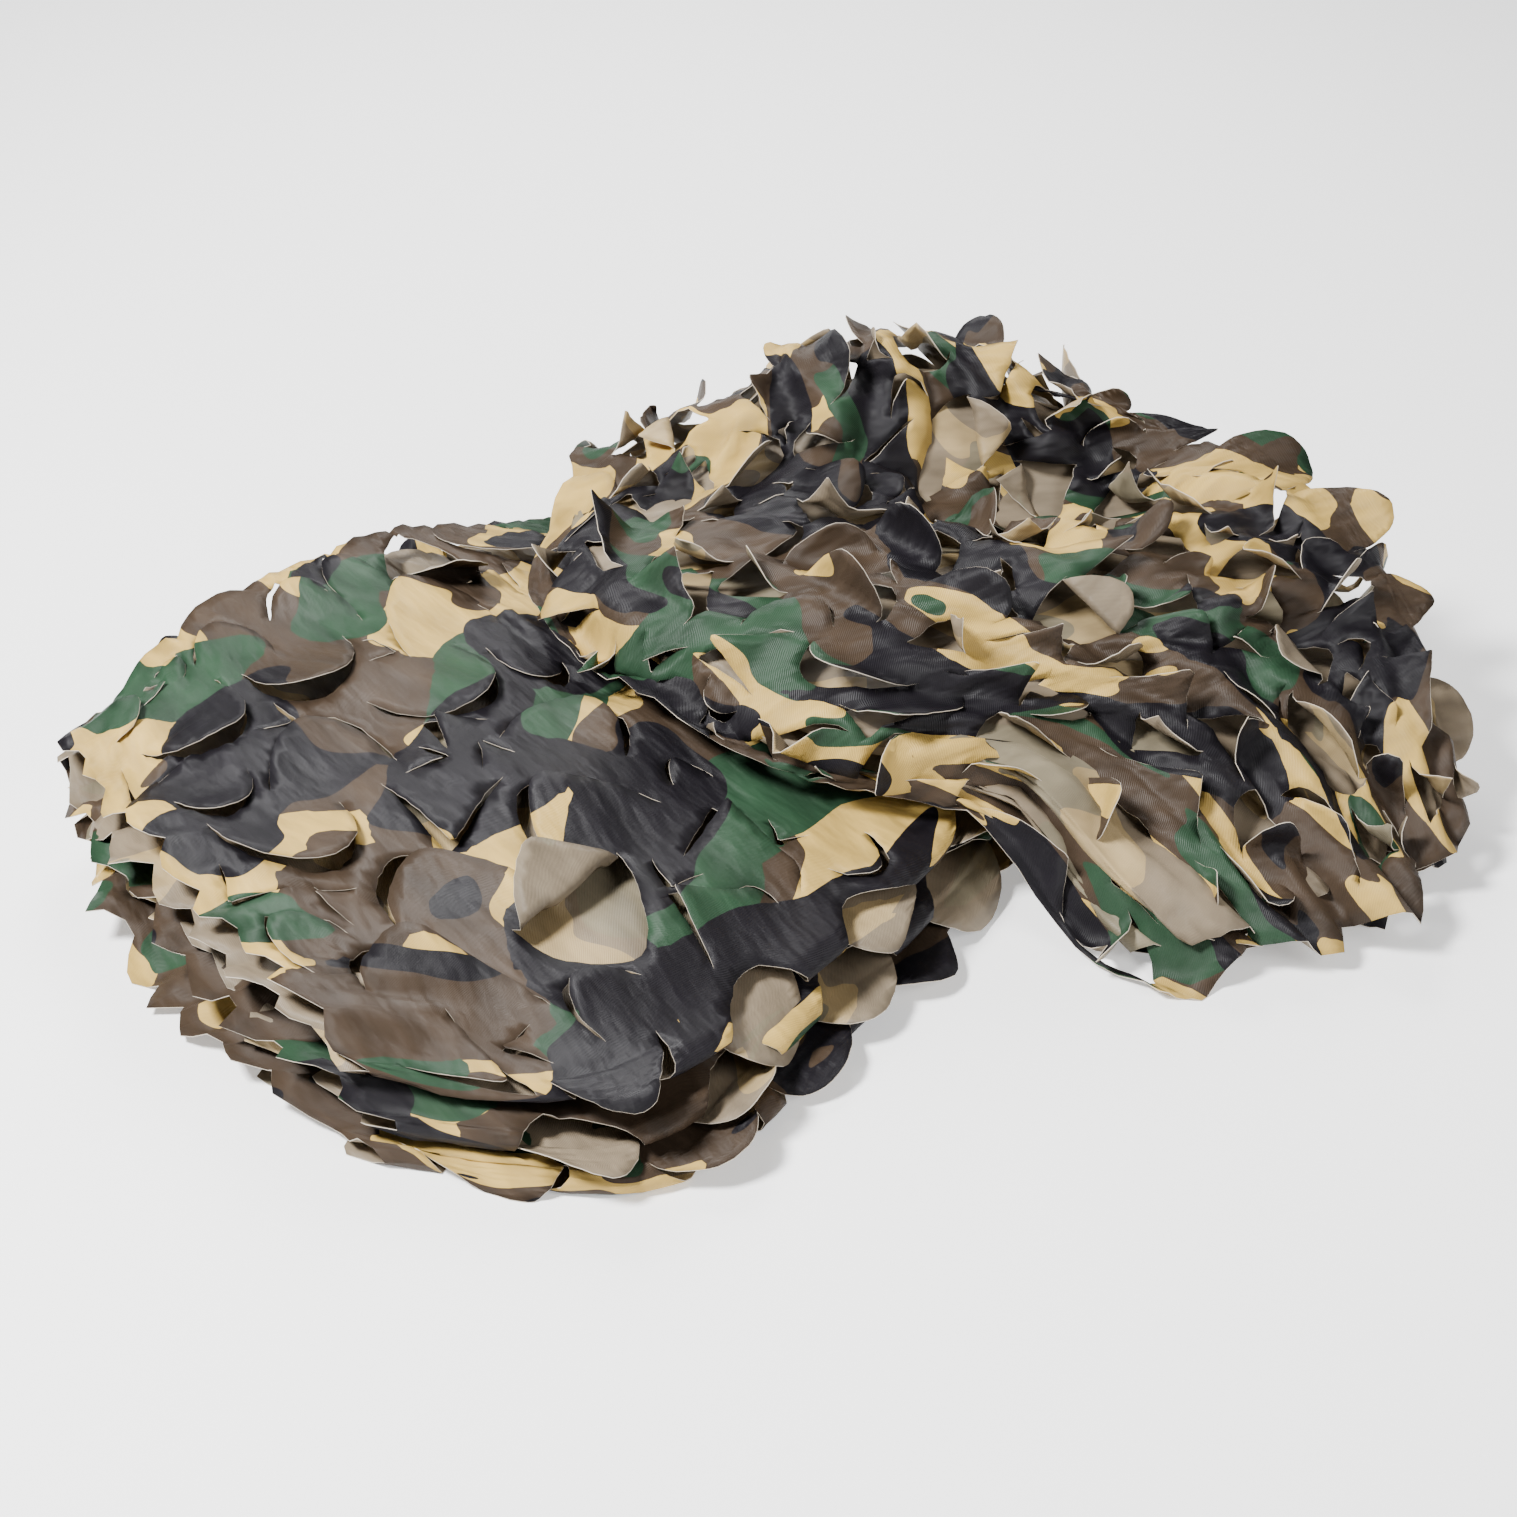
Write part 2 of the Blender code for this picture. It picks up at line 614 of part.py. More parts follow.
def thick_shape(body):
    """The points and faces of the sheet with its thickness."""
    bpy.context.view_layer.update()
    evaluated = body.evaluated_get(bpy.context.evaluated_depsgraph_get())
    mesh = evaluated.to_mesh()
    mesh.calc_loop_triangles()
    points = [point.co.copy() for point in mesh.vertices]
    faces = [tuple(face.vertices) for face in mesh.loop_triangles]
    evaluated.to_mesh_clear()
    return points, faces


def leaves_to_shut(body, moves_with):
    """The leaves that can't stand open, since they would meet the cloth or go below the surface."""
    points, faces = thick_shape(body)
    count = len(moves_with)
    shut = {moves_with[i % count] for i, point in enumerate(points) if point.z < -LEVEL_WITHIN}
    tree = BVHTree.FromPolygons(points, faces)
    for one, other in tree.overlap(tree):
        corners, others = ({i % count for i in faces[index]} for index in (one, other))
        if one < other and not corners & others:
            shut.add(max(moves_with[i] for i in corners | others))
    return shut - {-1}


def cloth_material():
    """The net's plain finish, brown as most of its print."""
    material = bpy.data.materials.new("net_cloth")
    material.use_nodes = True
    shader = material.node_tree.nodes["Principled BSDF"]
    shader.inputs["Base Color"].default_value = CLOTH_COLOUR
    shader.inputs["Roughness"].default_value = CLOTH_ROUGHNESS
    shader.inputs["Metallic"].default_value = 0.0
    return material


def net(collection):
    """The net, with every leaf open that has room to stand open."""
    leaves = chosen_leaves()
    while True:
        body, moves_with = sheet(leaves)
        collection.objects.link(body)
        shut = leaves_to_shut(body, moves_with)
        if not shut:
            break
        leaves = [one for number, one in enumerate(leaves) if number not in shut]
        bpy.data.objects.remove(body)
    points = np.array(thick_shape(body)[0])
    middle = (points.min(axis=0) + points.max(axis=0)) / 2
    body.data.transform(Matrix.Translation((-middle[0], -middle[1], 0.0)))
    body.data.shade_smooth()
    body.data.set_sharp_from_angle(angle=SHARP_EDGE)
    body.data.materials.append(cloth_material())


def main():
    for old in list(bpy.data.objects):
        bpy.data.objects.remove(old)
    collection = bpy.data.collections.new("camouflage net")
    bpy.context.scene.collection.children.link(collection)
    net(collection)


if __name__ == "__main__":
    main()
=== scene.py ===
"""The looks of the camouflage net: one thin printed cloth with leaf-shaped slits, on its CAD solid's folds.

The cloth is drawn flat first, with its slits, and is then laid into the pile by the same fold() as the CAD
model. Its leaves are bent up at their hinges. Units are metres, +Z is up.
"""

import math
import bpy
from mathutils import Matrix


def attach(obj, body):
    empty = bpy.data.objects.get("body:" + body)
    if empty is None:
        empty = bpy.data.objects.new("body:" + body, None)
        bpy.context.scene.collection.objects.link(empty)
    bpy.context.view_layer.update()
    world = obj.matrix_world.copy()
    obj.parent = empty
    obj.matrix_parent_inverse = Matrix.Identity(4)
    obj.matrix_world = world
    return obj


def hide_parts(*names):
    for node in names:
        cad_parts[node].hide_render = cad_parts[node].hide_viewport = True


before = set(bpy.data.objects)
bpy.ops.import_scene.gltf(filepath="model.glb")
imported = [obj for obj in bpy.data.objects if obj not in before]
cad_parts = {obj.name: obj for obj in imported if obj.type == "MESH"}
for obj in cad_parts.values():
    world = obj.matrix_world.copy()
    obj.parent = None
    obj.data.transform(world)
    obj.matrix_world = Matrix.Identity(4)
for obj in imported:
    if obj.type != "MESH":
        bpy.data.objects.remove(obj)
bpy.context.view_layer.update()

from types import SimpleNamespace

import bpy
import numpy as np
from mathutils import Vector
from mathutils.geometry import delaunay_2d_cdt
from mathutils.kdtree import KDTree


# The flat cloth. U runs along the folded strip, V across it from panel to panel.
NET_WIDTH = 1.2
NET_LENGTH = 2.4
PANELS = 6
PANEL = NET_LENGTH / PANELS
SHEET = 0.0011
FOLD_HALF = 0.013
FOLD_BULGE = 0.009
ALONG_DRIFT = 0.012
ALONG_DRIFT_EVERY = 0.9

# How unevenly the layers lie. Each inner layer rises and falls by a share of the space between two layers,
# and each fold stands out past the strip's side, or back from it, by shares of the strip's width.
LAYER_UNEVEN = 0.20
LAYER_TURNS_ALONG = 1.3
LAYER_TURNS_ACROSS = 0.8
LAYER_PHASE = 2.4
FOLD_STANDS_OUT = 0.030
FOLD_PHASE = 2.1
FOLD_FIRST_PHASE = 0.4
FOLD_WANDERS = 0.014
FOLD_TURNS_ALONG = 1.7

# Where the strip stops lying on the surface and where it has turned over, as shares of its length.
TURN_START = 0.42
TURN_END = 0.60
TURN_REACH = (0.040, 0.090, 0.075)
INNER_REACH = 0.008
BACK = Vector((-0.06, 0.998))

# The leaf slits, on a lattice over the flat cloth with every other row shifted by half a leaf.
LEAF_COLUMNS = 13
PANEL_ROWS = 7
LEAF_HALF_CHORD = 0.039
LEAF_LENGTH = 0.047
LEAST_CHORD = 0.88
LEAST_LENGTH = 0.86
LEAF_SKEW = 0.35
FIRST_LEAF = 0.25
LEAF_SEED = 11

# How the leaves stand open: least and further lift, how few are lifted far, and how they curl out or in.
LEAST_LIFT = math.radians(16)
FURTHER_LIFT = math.radians(44)
FEW_LIFTED = 1.6
LEAF_CURL = math.radians(70)
CURLED_IN = 0.4
LEAF_NARROWING = 0.20
TURN_LEAVES_END = 0.62
TURN_LEAVES_LIFT = 0.35
LEAF_BORDER = 0.009
OPEN_MARGIN = 0.022
FOLD_STRETCH = 4.0
NEARBY = 0.004
HINGE_WITHIN = 1e-6

# The leaves that stand straight out of the strip's sides, where the cloth turns away behind them.
SIDE_SEED = 100
SIDE_PLACES = (0.045, 0.12, 0.195, 0.27, 0.345, 0.65, 0.725, 0.80, 0.875, 0.95)
SIDE_STAGGER = 0.025
SIDE_NUDGE = 0.012
SIDE_CHORD = 0.9
SIDE_LEAST_LENGTH = 0.9
SIDE_MORE_LENGTH = 0.14
SIDE_SKEW = 0.3
SIDE_HINGE_INSIDE = 0.020
SIDE_LIFT = math.radians(1.5)

# The free ends' pointed tips, with a count for each panel and a seed, and the sides' scallops.
END_TIP = 0.020
LEAST_TIP = 0.3
TIP_NOTCH = 0.4
LEFT_TIPS = (9, 21)
RIGHT_TIPS = (4, 22)
SCALLOP, SCALLOP_DEPTH = 0.052, 0.007

# The lower leg's sections, from its free end to the turn. Left is the strip's far edge and right its near
# one, seen from the front; the four heights are the top of the stack at even steps from left to right.
#    along   left x   left y  right x  right y   bow    height of the top, left to right
LOWER = np.array([
    (0.00, -0.410, -0.004, -0.215, -0.300, 0.020, 0.080, 0.086, 0.076, 0.052),
    (0.10, -0.355, 0.105, -0.063, -0.316, 0.012, 0.095, 0.096, 0.082, 0.054),
    (0.21, -0.270, 0.180, 0.040, -0.205, 0.000, 0.098, 0.098, 0.085, 0.058),
    (0.32, -0.195, 0.215, 0.136, -0.052, 0.000, 0.100, 0.096, 0.082, 0.058),
    (TURN_START, -0.120, 0.232, 0.215, 0.235, 0.000, 0.098, 0.092, 0.084, 0.075),
])
# The upper leg's sections, from the turn to its free end. Left is now the near edge.
UPPER = np.array([
    (TURN_END, -0.112, 0.215, 0.215, 0.235, 0.000, 0.150, 0.194, 0.232, 0.190),
    (0.69, -0.118, 0.095, 0.295, 0.205, 0.000, 0.147, 0.156, 0.142, 0.170),
    (0.77, -0.060, 0.005, 0.360, 0.165, 0.000, 0.136, 0.158, 0.152, 0.158),
    (0.85, 0.030, -0.065, 0.405, 0.118, 0.000, 0.120, 0.138, 0.134, 0.119),
    (0.93, 0.157, -0.082, 0.428, 0.056, 0.000, 0.092, 0.098, 0.104, 0.096),
    (1.00, 0.268, -0.164, 0.442, -0.036, 0.008, 0.026, 0.030, 0.036, 0.042),
])
# The underside of the upper leg is set back from its top at the near edge, the far edge and the free end,
# so that the upper layers hang over the lower ones.
#    along   near edge  far edge  free end
SETBACK = np.array([
    (TURN_END, 0.000, 0.000, 0.000),
    (0.69, 0.040, 0.010, 0.000),
    (0.77, 0.045, 0.015, 0.000),
    (0.85, 0.030, 0.015, 0.000),
    (0.93, 0.015, 0.015, 0.010),
    (1.00, 0.010, 0.015, 0.030),
])
# The top of the lower leg as the upper one's underside follows it. Its right side is a line, and its height
# rises towards the left and the back. Past its right side and its near end the upper leg comes down.
RIGHT_SIDE_X = 0.176
RIGHT_SIDE_SLOPE = 0.22
LOWEST_TOP = 0.066
RISE_LEFT, LEFT_FROM, LEFT_OVER = 0.032, 0.20, 0.28
RISE_BACK, BACK_FROM, BACK_OVER = 0.010, -0.02, 0.20
NEAR_END_Y, NEAR_STEP = -0.16, 0.10
CLEAR_OVER_LOWER = 0.006
STEP_DOWN = 0.100

# Slow waves in the cloth: share of a full turn for each metre along x and y, phase, and height.
WAVES = np.array([
    (5.0, 2.0, 0.3, 0.0022),
    (-3.0, 6.5, 1.9, 0.0020),
    (9.0, -5.0, 4.0, 0.0013),
    (2.0, 11.0, 2.6, 0.0012),
])
UPPER_WAVES = 0.8
UPPER_WAVES_SHIFT = 0.3

# Where the CAD model's origin lies in the frame that the tables are drawn in.
PILE_SHIFT = np.array([-0.02094466, 0.00422803, 0.0])

# The finer cloth's thickness, and which parts of it count as the lobe's top and as its sides.
CLOTH = 0.0005
LOBE_PAST_TURN = 0.12
SIDE_DEPTH = 0.042

# How far apart the cloth's points are on the lobe, on the heap, at the sides, where it is hidden and along
# its cuts, and how unevenly they lie.
SIDE_SPACING = 0.009
SPACINGS = (0.0070, 0.0056, SIDE_SPACING, 0.026)
EDGE_SPACING = 0.0050
CROWDED = 0.62
CUT_APART = 0.0042
CUT_EXACT = 1e-7
INNER_SEED = 3
ROW_SHARE = 0.87
NUDGE_U, NUDGE_V = 0.3, 0.2
EDGE_ROOM = 0.002
FOLD_TABLE = 4801

# The outlines that a leaf can have, between the ends of its hinge, in shares of half its chord and of its
# length.
LEAF_EDGES = (
    ((0.93, 0.36), (0.62, 0.76), (0.10, 1.0), (-0.45, 0.88), (-0.86, 0.50)),
    ((0.96, 0.42), (0.74, 0.82), (0.22, 1.04), (-0.42, 0.80), (-0.85, 0.36)),
    ((0.84, 0.30), (0.48, 0.66), (-0.05, 1.05), (-0.50, 0.92), (-0.90, 0.48)),
    ((0.72, 0.28), (0.30, 0.98), (0.16, 1.12), (0.02, 1.00), (-0.62, 0.50)),
    ((0.90, 0.40), (0.42, 0.62), (-0.42, 1.06), (-0.56, 1.10), (-0.64, 0.92)),
    ((0.60, 0.42), (0.12, 1.10), (0.02, 1.17), (-0.08, 1.08), (-0.55, 0.50)),
)
ROUND_EDGES = 3

# The smaller leaves between the others, with sizes as shares of a leaf's.
SMALL_SEED = 9
SMALL_TRIES = 17000
SMALL_ON_LOBE = 0.34
LOBE_SIZES = (0.90, 0.30)
HEAP_SIZES = (0.66, 0.24)
SMALL_TURN = math.radians(80)
SMALL_TOO_NEAR = 0.50
LEAF_REACH = 1.85
SMALL_FURTHER_LIFT = math.radians(75)
SMALL_FROM_FOLD = 0.035

# How every leaf is sized, opened and bent: nearly shut on the lobe, open on the heap, wilted at the sides.
LOBE_LIFT = 0.09
LOBE_CURL = 0.18
HEAP_LIFT = 1.30
BEHIND_STEEPEST = math.radians(45)
LOBE_SHUT = math.radians(4)
LOBE_SHUT_FURTHER = math.radians(9)
BEND_SEED = 7
LOBE_LEAF = 1.05
HEAP_LEAF = 0.68
SIDE_LEAF = 0.92
LEAF_TURN = math.radians(16)
SIDE_WILT = math.radians(22)
LEAF_CUP = 0.020
CUPPED_IN = 0.35
LEAF_TWIST = math.radians(24)
FOLDED_BACK = 0.15
BACK_LIFT = math.radians(158)
BACK_CURL = math.radians(-12)
HINGE_BEND = 0.010
BEND_STEPS, BEND_PAST = 24, 1.1
MOST_STRETCH = 1.35

# Smooth noises over the flat cloth: hills in a metre of u and of v along x, the same along y, and a seed.
NOISE_GRID = 64
HILLS = {
    "slow": (6, 4, -5, 11, 3),
    "ridges": (9, 8, -7, 14, 5),
    "short": (21, -14, 12, 30, 4),
    "ends": (0, 0, 0, 16, 6),
    "pleats": (7, 0, 0, 5, 8),
    "scallops": (9, 0, 0, 0, 7),
}

# The first wrinkles: their height on the lobe, on the heap, at the sides and where it is hidden, their
# kinds, the curl of the free ends and the pleats of the heap.
FIRST_DEPTH = (0.0015, 0.0065, 0.0022, 0.0)
DEPTH_AT_FOLDS = 0.3
SLOW_SHARE = 1.2
RIDGE_SHARPNESS = 2.4
SHORT_TOP = 0.45
END_CURL = 0.012
END_REACH, END_OVER = 0.05, 0.07
PLEAT_DEPTH = 0.010
PLEAT = 0.052
PLEAT_WANDER = 0.8
PLEAT_MIDDLE = 0.6
PLEATS_FROM, PLEATS_OVER = 0.10, 0.08

# How the cloth then crumples, in the same four places: how much longer it grows, and how far it may move.
GROWTH = (0.020, 0.055, 0.045, 0.0)
LIMIT = (0.007, 0.019, 0.006, 0.001)
LEAF_GROWTH = 0.35
MOST_TAKEN_UP = 1.15
CRUMPLE_STEPS = 130
CRUMPLE_PACE = 1.4
STIFFNESS = 0.30
SMOOTH_PACE = 0.5
TINY = 1e-9

# How the upper leg's top layer rolls down at its near edge over the layers below it: where along the strip,
# how far inside the edge, how much cloth it takes, and its curve.
ROLL_FROM, ROLL_OVER = 0.61, 0.07
ROLL_INSIDE = 0.035
ROLL_CLOTH = 0.080
ROLL_STRETCH = 1.25
ROLL_RADIUS = 0.032
ROLL_STEEPEST = math.radians(72)
ROLL_CLEAR = 0.005

# The print's colours, and its patches: colour, how many to a metre along and across, place, edge and turn.
PRINT = {
    "brown": (0.040, 0.026, 0.016, 1),
    "black": (0.006, 0.005, 0.007, 1),
    "green": (0.016, 0.042, 0.021, 1),
    "sand": (0.450, 0.298, 0.080, 1),
}
PATCHES = (
    ("sand", (7.5, 12.0, 1), (3.1, 7.7, 0), 0.585, 0.25),
    ("green", (6.0, 10.0, 1), (9.4, 1.3, 0), 0.580, 0.10),
    ("black", (6.5, 11.0, 1), (0.6, 4.1, 0), 0.580, 0.20),
)
PRINT_DETAIL = 1.5
BACK_COLOUR = (0.240, 0.191, 0.130, 1)
SHOWS_THROUGH = 0.32
EDGE_COLOUR = (0.50, 0.44, 0.36, 1)

# The cloth's sheen, its twill and its small creases. The ribs and creases also darken and lighten its
# colour, as painted shade.
SPECULAR = 0.20
PRINT_ROUGHNESS, BACK_ROUGHNESS, EDGE_ROUGHNESS = 0.48, 0.42, 0.8
PRINT_CRINKLED, BACK_CRINKLED = 0.8, 0.6
TWILL_RIBS = 560.0
TWILL_SHARE = 0.035
RIB_SHADE = 0.24
CREASES = (54.0, 20.0, 1.0)
CREASE_TURN = 0.6
CREASE_DEPTH = 0.0052
CREASE_DETAIL = 2.5
NOISE_MIDDLE = 0.5

# How far the plain cloth leans towards each colour on the lobe, on the heap and elsewhere, and how closely
# the print is bunched on the heap.
PLAIN_LEANINGS = {
    "sand": (0.28, 0.02, 0.05),
    "green": (-0.24, -0.19, -0.05),
    "black": (-0.06, 0.02, 0.0),
}
LEANING_STRENGTH = 0.32
BUNCHED = 0.7

# The print's main patches: place along and across the flat cloth, half the length and half the width, and
# the turn in degrees. Noise bends their edges.
PATCH_SPREAD = 1.25
PATCH_WANDER = 0.016
PATCH_RIPPLE = 0.036
PATCH_SEEDS = (31, 32)
MAIN_PATCHES = {
    "black": (
        (0.15, 2.175, 0.075, 0.036, 25), (0.3, 2.25, 0.06, 0.035, 0), (0.225, 2.115, 0.075, 0.04, 20),
        (0.14, 2.088, 0.036, 0.028, 70), (0.22, 2.02, 0.055, 0.028, 10), (0.815, 0.16, 0.065, 0.036, 20),
        (0.933, 0.188, 0.06, 0.025, 0), (1.017, 0.112, 0.04, 0.045, 60), (1.122, 0.175, 0.06, 0.03, 70),
        (1.092, 0.34, 0.06, 0.045, 20),
    ),
    "green": (
        (0.225, 2.215, 0.06, 0.026, 20), (0.31, 2.085, 0.085, 0.034, -20), (0.192, 2.072, 0.045, 0.02, 0),
        (0.226, 2.355, 0.05, 0.028, 20), (0.101, 2.335, 0.035, 0.022, 0), (0.049, 2.37, 0.035, 0.03, 0),
        (0.04, 2.02, 0.05, 0.03, 0), (0.906, 0.02, 0.05, 0.04, 0), (0.88, 0.27, 0.04, 0.022, 0),
        (1.03, 0.255, 0.09, 0.03, 15), (1.185, 0.028, 0.03, 0.035, 0),
    ),
    "sand": (
        (0.057, 2.238, 0.035, 0.028, 10), (0.09, 2.195, 0.055, 0.02, 20), (0.129, 2.105, 0.04, 0.032, 30),
        (0.14, 2.047, 0.045, 0.022, 20), (0.301, 2.03, 0.05, 0.024, 40), (0.072, 2.105, 0.035, 0.022, 0),
        (0.0, 2.132, 0.05, 0.03, 80), (0.246, 2.282, 0.045, 0.014, 0), (0.705, 0.265, 0.035, 0.045, 0),
        (0.744, 0.335, 0.04, 0.03, 0), (0.74, 0.115, 0.045, 0.026, 30), (0.765, 0.245, 0.05, 0.022, 0),
        (0.876, 0.352, 0.03, 0.045, 70), (0.966, 0.24, 0.05, 0.018, 0), (1.011, 0.07, 0.045, 0.025, 60),
        (1.089, 0.1, 0.03, 0.035, 0), (1.137, 0.015, 0.035, 0.045, 70), (1.143, 0.232, 0.035, 0.025, 20),
    ),
}

# The floor, the lights (name, place, size and power), and the camera, whose angle above is in degrees.
FLOOR = 6.0
FLOOR_COLOUR = (0.95, 0.95, 0.95, 1)
FLOOR_ROUGHNESS = 0.9
FLOOR_GLOW = 0.45
LIGHTS = (
    ("key", (-1.2, -0.6, 1.9), 0.5, 155),
    ("fill", (1.5, -1.2, 1.2), 1.0, 32),
    ("rim", (-0.2, 1.7, 1.5), 0.9, 45),
)
WORLD_LIGHT = 0.16
CAMERA_LENS, CAMERA_SENSOR = 65, 36
CAMERA_ABOVE = 34
CAMERA_AWAY = 1.72
CAMERA_TARGET = (0.008, 0, 0.055)


def between(at, rows):
    """The rows of a table read at places along its first column, on a smooth curve through them."""
    along, values = rows[:, 0], rows[:, 1:]
    slopes = np.gradient(values, along, axis=0)
    i = np.clip(np.searchsorted(along, at) - 1, 0, len(along) - 2)
    step = (along[i + 1] - along[i])[:, None]
    inside = np.clip(at, along[0], along[-1])
    t = ((inside - along[i]) / step[:, 0])[:, None]
    start, end = values[i], values[i + 1]
    curve = (
        start * (1 + 2 * t) * (1 - t) ** 2
        + end * t * t * (3 - 2 * t)
        + slopes[i] * step * t * (1 - t) ** 2
        - slopes[i + 1] * step * t * t * (1 - t)
    )
    beyond = (at - inside)[:, None]
    return curve + beyond * np.where(beyond < 0, slopes[0], slopes[-1])


def across(heights, w):
    """The height at w, from 0 at the left edge to 1 at the right, on a curve through four heights."""
    w = np.clip(w, 0, 1)
    third, two_thirds = w - 1 / 3, w - 2 / 3
    return (
        -4.5 * third * two_thirds * (w - 1) * heights[:, 0]
        + 13.5 * w * two_thirds * (w - 1) * heights[:, 1]
        - 13.5 * w * third * (w - 1) * heights[:, 2]
        + 4.5 * w * third * two_thirds * heights[:, 3]
    )


def size_of(ways):
    """The length of each vector, as a column."""
    return np.linalg.norm(ways, axis=1)[:, None]


def ease(t):
    """0 to 1, smooth at both ends."""
    t = np.clip(t, 0, 1)
    return t * t * (3 - 2 * t)


def waves(x, y):
    """The slow rise and fall of the cloth at a place."""
    return sum(
        height * np.sin(2 * math.pi * (turns_x * x + turns_y * y) + phase)
        for turns_x, turns_y, phase, height in WAVES
    )


def section_plan(rows, w):
    """The places at w on sections from left to right, bowed out at their middle."""
    left, right, bow = rows[:, 0:2], rows[:, 2:4], rows[:, 4]
    chord = right - left
    out = np.stack([chord[:, 1], -chord[:, 0]], axis=1) / size_of(chord)
    return left + chord * w[:, None] + out * (bow * 4 * w * (1 - w))[:, None]


def lower_skins(along, w):
    """The floor side and the top of the lower leg."""
    rows = between(along, LOWER)
    x, y = section_plan(rows, w).T
    top = across(rows[:, 5:9], w) + waves(x, y)
    return np.stack([x, y, np.full_like(x, SHEET / 2)], 1), np.stack([x, y, top], 1)


def support(x, y):
    """How high the upper leg's underside lies: over the lower leg, then down to the surface beside it."""
    over = 1 - ease((x - RIGHT_SIDE_X - RIGHT_SIDE_SLOPE * y) / STEP_DOWN)
    near = ease((y - NEAR_END_Y) / NEAR_STEP)
    top = LOWEST_TOP + RISE_LEFT * ease((LEFT_FROM - x) / LEFT_OVER)
    top += RISE_BACK * ease((y - BACK_FROM) / BACK_OVER) + waves(x, y)
    return SHEET / 2 + (top + CLEAR_OVER_LOWER) * over * near


def upper_skins(along, w):
    """The top and the underside of the upper leg."""
    rows, back = between(along, UPPER), between(along, SETBACK)
    x, y = section_plan(rows, w).T
    top = np.stack([x, y, across(rows[:, 5:9], w) + UPPER_WAVES * waves(x + UPPER_WAVES_SHIFT, y)], 1)
    chord = rows[:, 2:4] - rows[:, 0:2]
    chord /= size_of(chord)
    ahead = np.stack([chord[:, 1], -chord[:, 0]], axis=1)
    inner = rows.copy()
    inner[:, 0:2] += chord * back[:, 0:1] - ahead * back[:, 2:3]
    inner[:, 2:4] -= chord * back[:, 1:2] + ahead * back[:, 2:3]
    x, y = section_plan(inner, w).T
    return top, np.stack([x, y, support(x, y)], 1)


def turn_point(along, w, level):
    """A point of the strip where it turns over at the back, level 0 outside and 1 inside."""
    start, end = np.full_like(along, TURN_START), np.full_like(along, TURN_END)
    outer_low, inner_low = lower_skins(start, w)
    outer_high, inner_high = upper_skins(end, w)
    low = outer_low + (inner_low - outer_low) * level[:, None]
    high = outer_high + (inner_high - outer_high) * level[:, None]
    angle = math.pi * ((along - TURN_START) / (TURN_END - TURN_START) - 0.5)
    outer_reach = np.interp(w, (0.0, 0.5, 1.0), TURN_REACH)
    reach = outer_reach + (INNER_REACH - outer_reach) * level
    middle, half = (low + high) / 2, (high - low) / 2
    point = middle + half * np.sin(angle)[:, None]
    point[:, 0] += BACK.x * reach * np.cos(angle)
    point[:, 1] += BACK.y * reach * np.cos(angle)
    return point


def strip_point(along, w, level):
    """A point of the folded strip: along it, across it, and from level 0 outside to level 1 inside."""
    point = turn_point(along, w, level)
    for where, skins in ((along < TURN_START, lower_skins), (along > TURN_END, upper_skins)):
        if where.any():
            outer, inner = skins(along[where], w[where])
            point[where] = outer + (inner - outer) * level[where, None]
    return point


def layer_level(layer, along, w):
    """The level of a layer in the stack. The layers between the outer two lie a little unevenly."""
    inner = (layer > 0) & (layer < PANELS - 1)
    turns = LAYER_TURNS_ALONG * along + LAYER_TURNS_ACROSS * w
    uneven = LAYER_UNEVEN * np.sin(2 * math.pi * turns + LAYER_PHASE * layer)
    return (layer + np.where(inner, uneven, 0.0)) / (PANELS - 1)


def edge_shift(fold_number, along):
    """How far a fold or a free edge stands out past the strip's side, as a share of the strip's width."""
    whole = FOLD_STANDS_OUT * np.sin(FOLD_PHASE * fold_number + FOLD_FIRST_PHASE)
    return whole + FOLD_WANDERS * np.sin(2 * math.pi * FOLD_TURNS_ALONG * along + fold_number)


def along_drift(v):
    """How far each panel has slipped along the strip."""
    return ALONG_DRIFT * np.sin(2 * math.pi * v / ALONG_DRIFT_EVERY)


def layer_at(v):
    """The panel that each place across the cloth is on, which is its layer in the stack."""
    return np.clip(np.floor(v / PANEL), 0, PANELS - 1)


def fold(u, v):
    """Where the points (u, v) of the flat cloth lie in the pile."""
    layer = layer_at(v)
    start, end = v - layer * PANEL, (layer + 1) * PANEL - v
    start_half = np.where(layer > 0, FOLD_HALF, 0.0)
    end_half = np.where(layer < PANELS - 1, FOLD_HALF, 0.0)
    share = np.clip((start - start_half) / (PANEL - start_half - end_half), 0, 1)
    along = u / NET_WIDTH + along_drift(v)
    odd = layer % 2 == 1
    first = np.where(odd, 1 + edge_shift(layer, along), -edge_shift(layer, along))
    last = np.where(odd, -edge_shift(layer + 1, along), 1 + edge_shift(layer + 1, along))
    w = first + (last - first) * share
    turn_back = np.where(layer > 0, np.clip(1 - start / FOLD_HALF, 0, 1), 0.0)
    turn_on = np.where(layer < PANELS - 1, np.clip(1 - end / FOLD_HALF, 0, 1), 0.0)
    neighbour = layer + (turn_on > 0) - (turn_back > 0)
    angle = np.maximum(turn_back, turn_on) * math.pi / 2
    level = layer_level(layer, along, w)
    level += (layer_level(neighbour, along, w) - level) / 2 * (1 - np.cos(angle))
    outward = np.where((turn_on > 0) ^ odd, 1.0, -1.0)
    w = w + outward * np.sin(angle) * FOLD_BULGE / PANEL
    return strip_point(along, w, level)


def leaf(hinge, way, half, length, skew, lift, curl):
    """One leaf: where its hinge's middle is, which way along v it points, its size, and how it bends up."""
    return SimpleNamespace(
        hinge=np.array(hinge), way=way, half=half, length=length, skew=skew, lift=lift, curl=curl,
        turn=0.0, edge=LEAF_EDGES[0], stretch=MOST_STRETCH,
    )


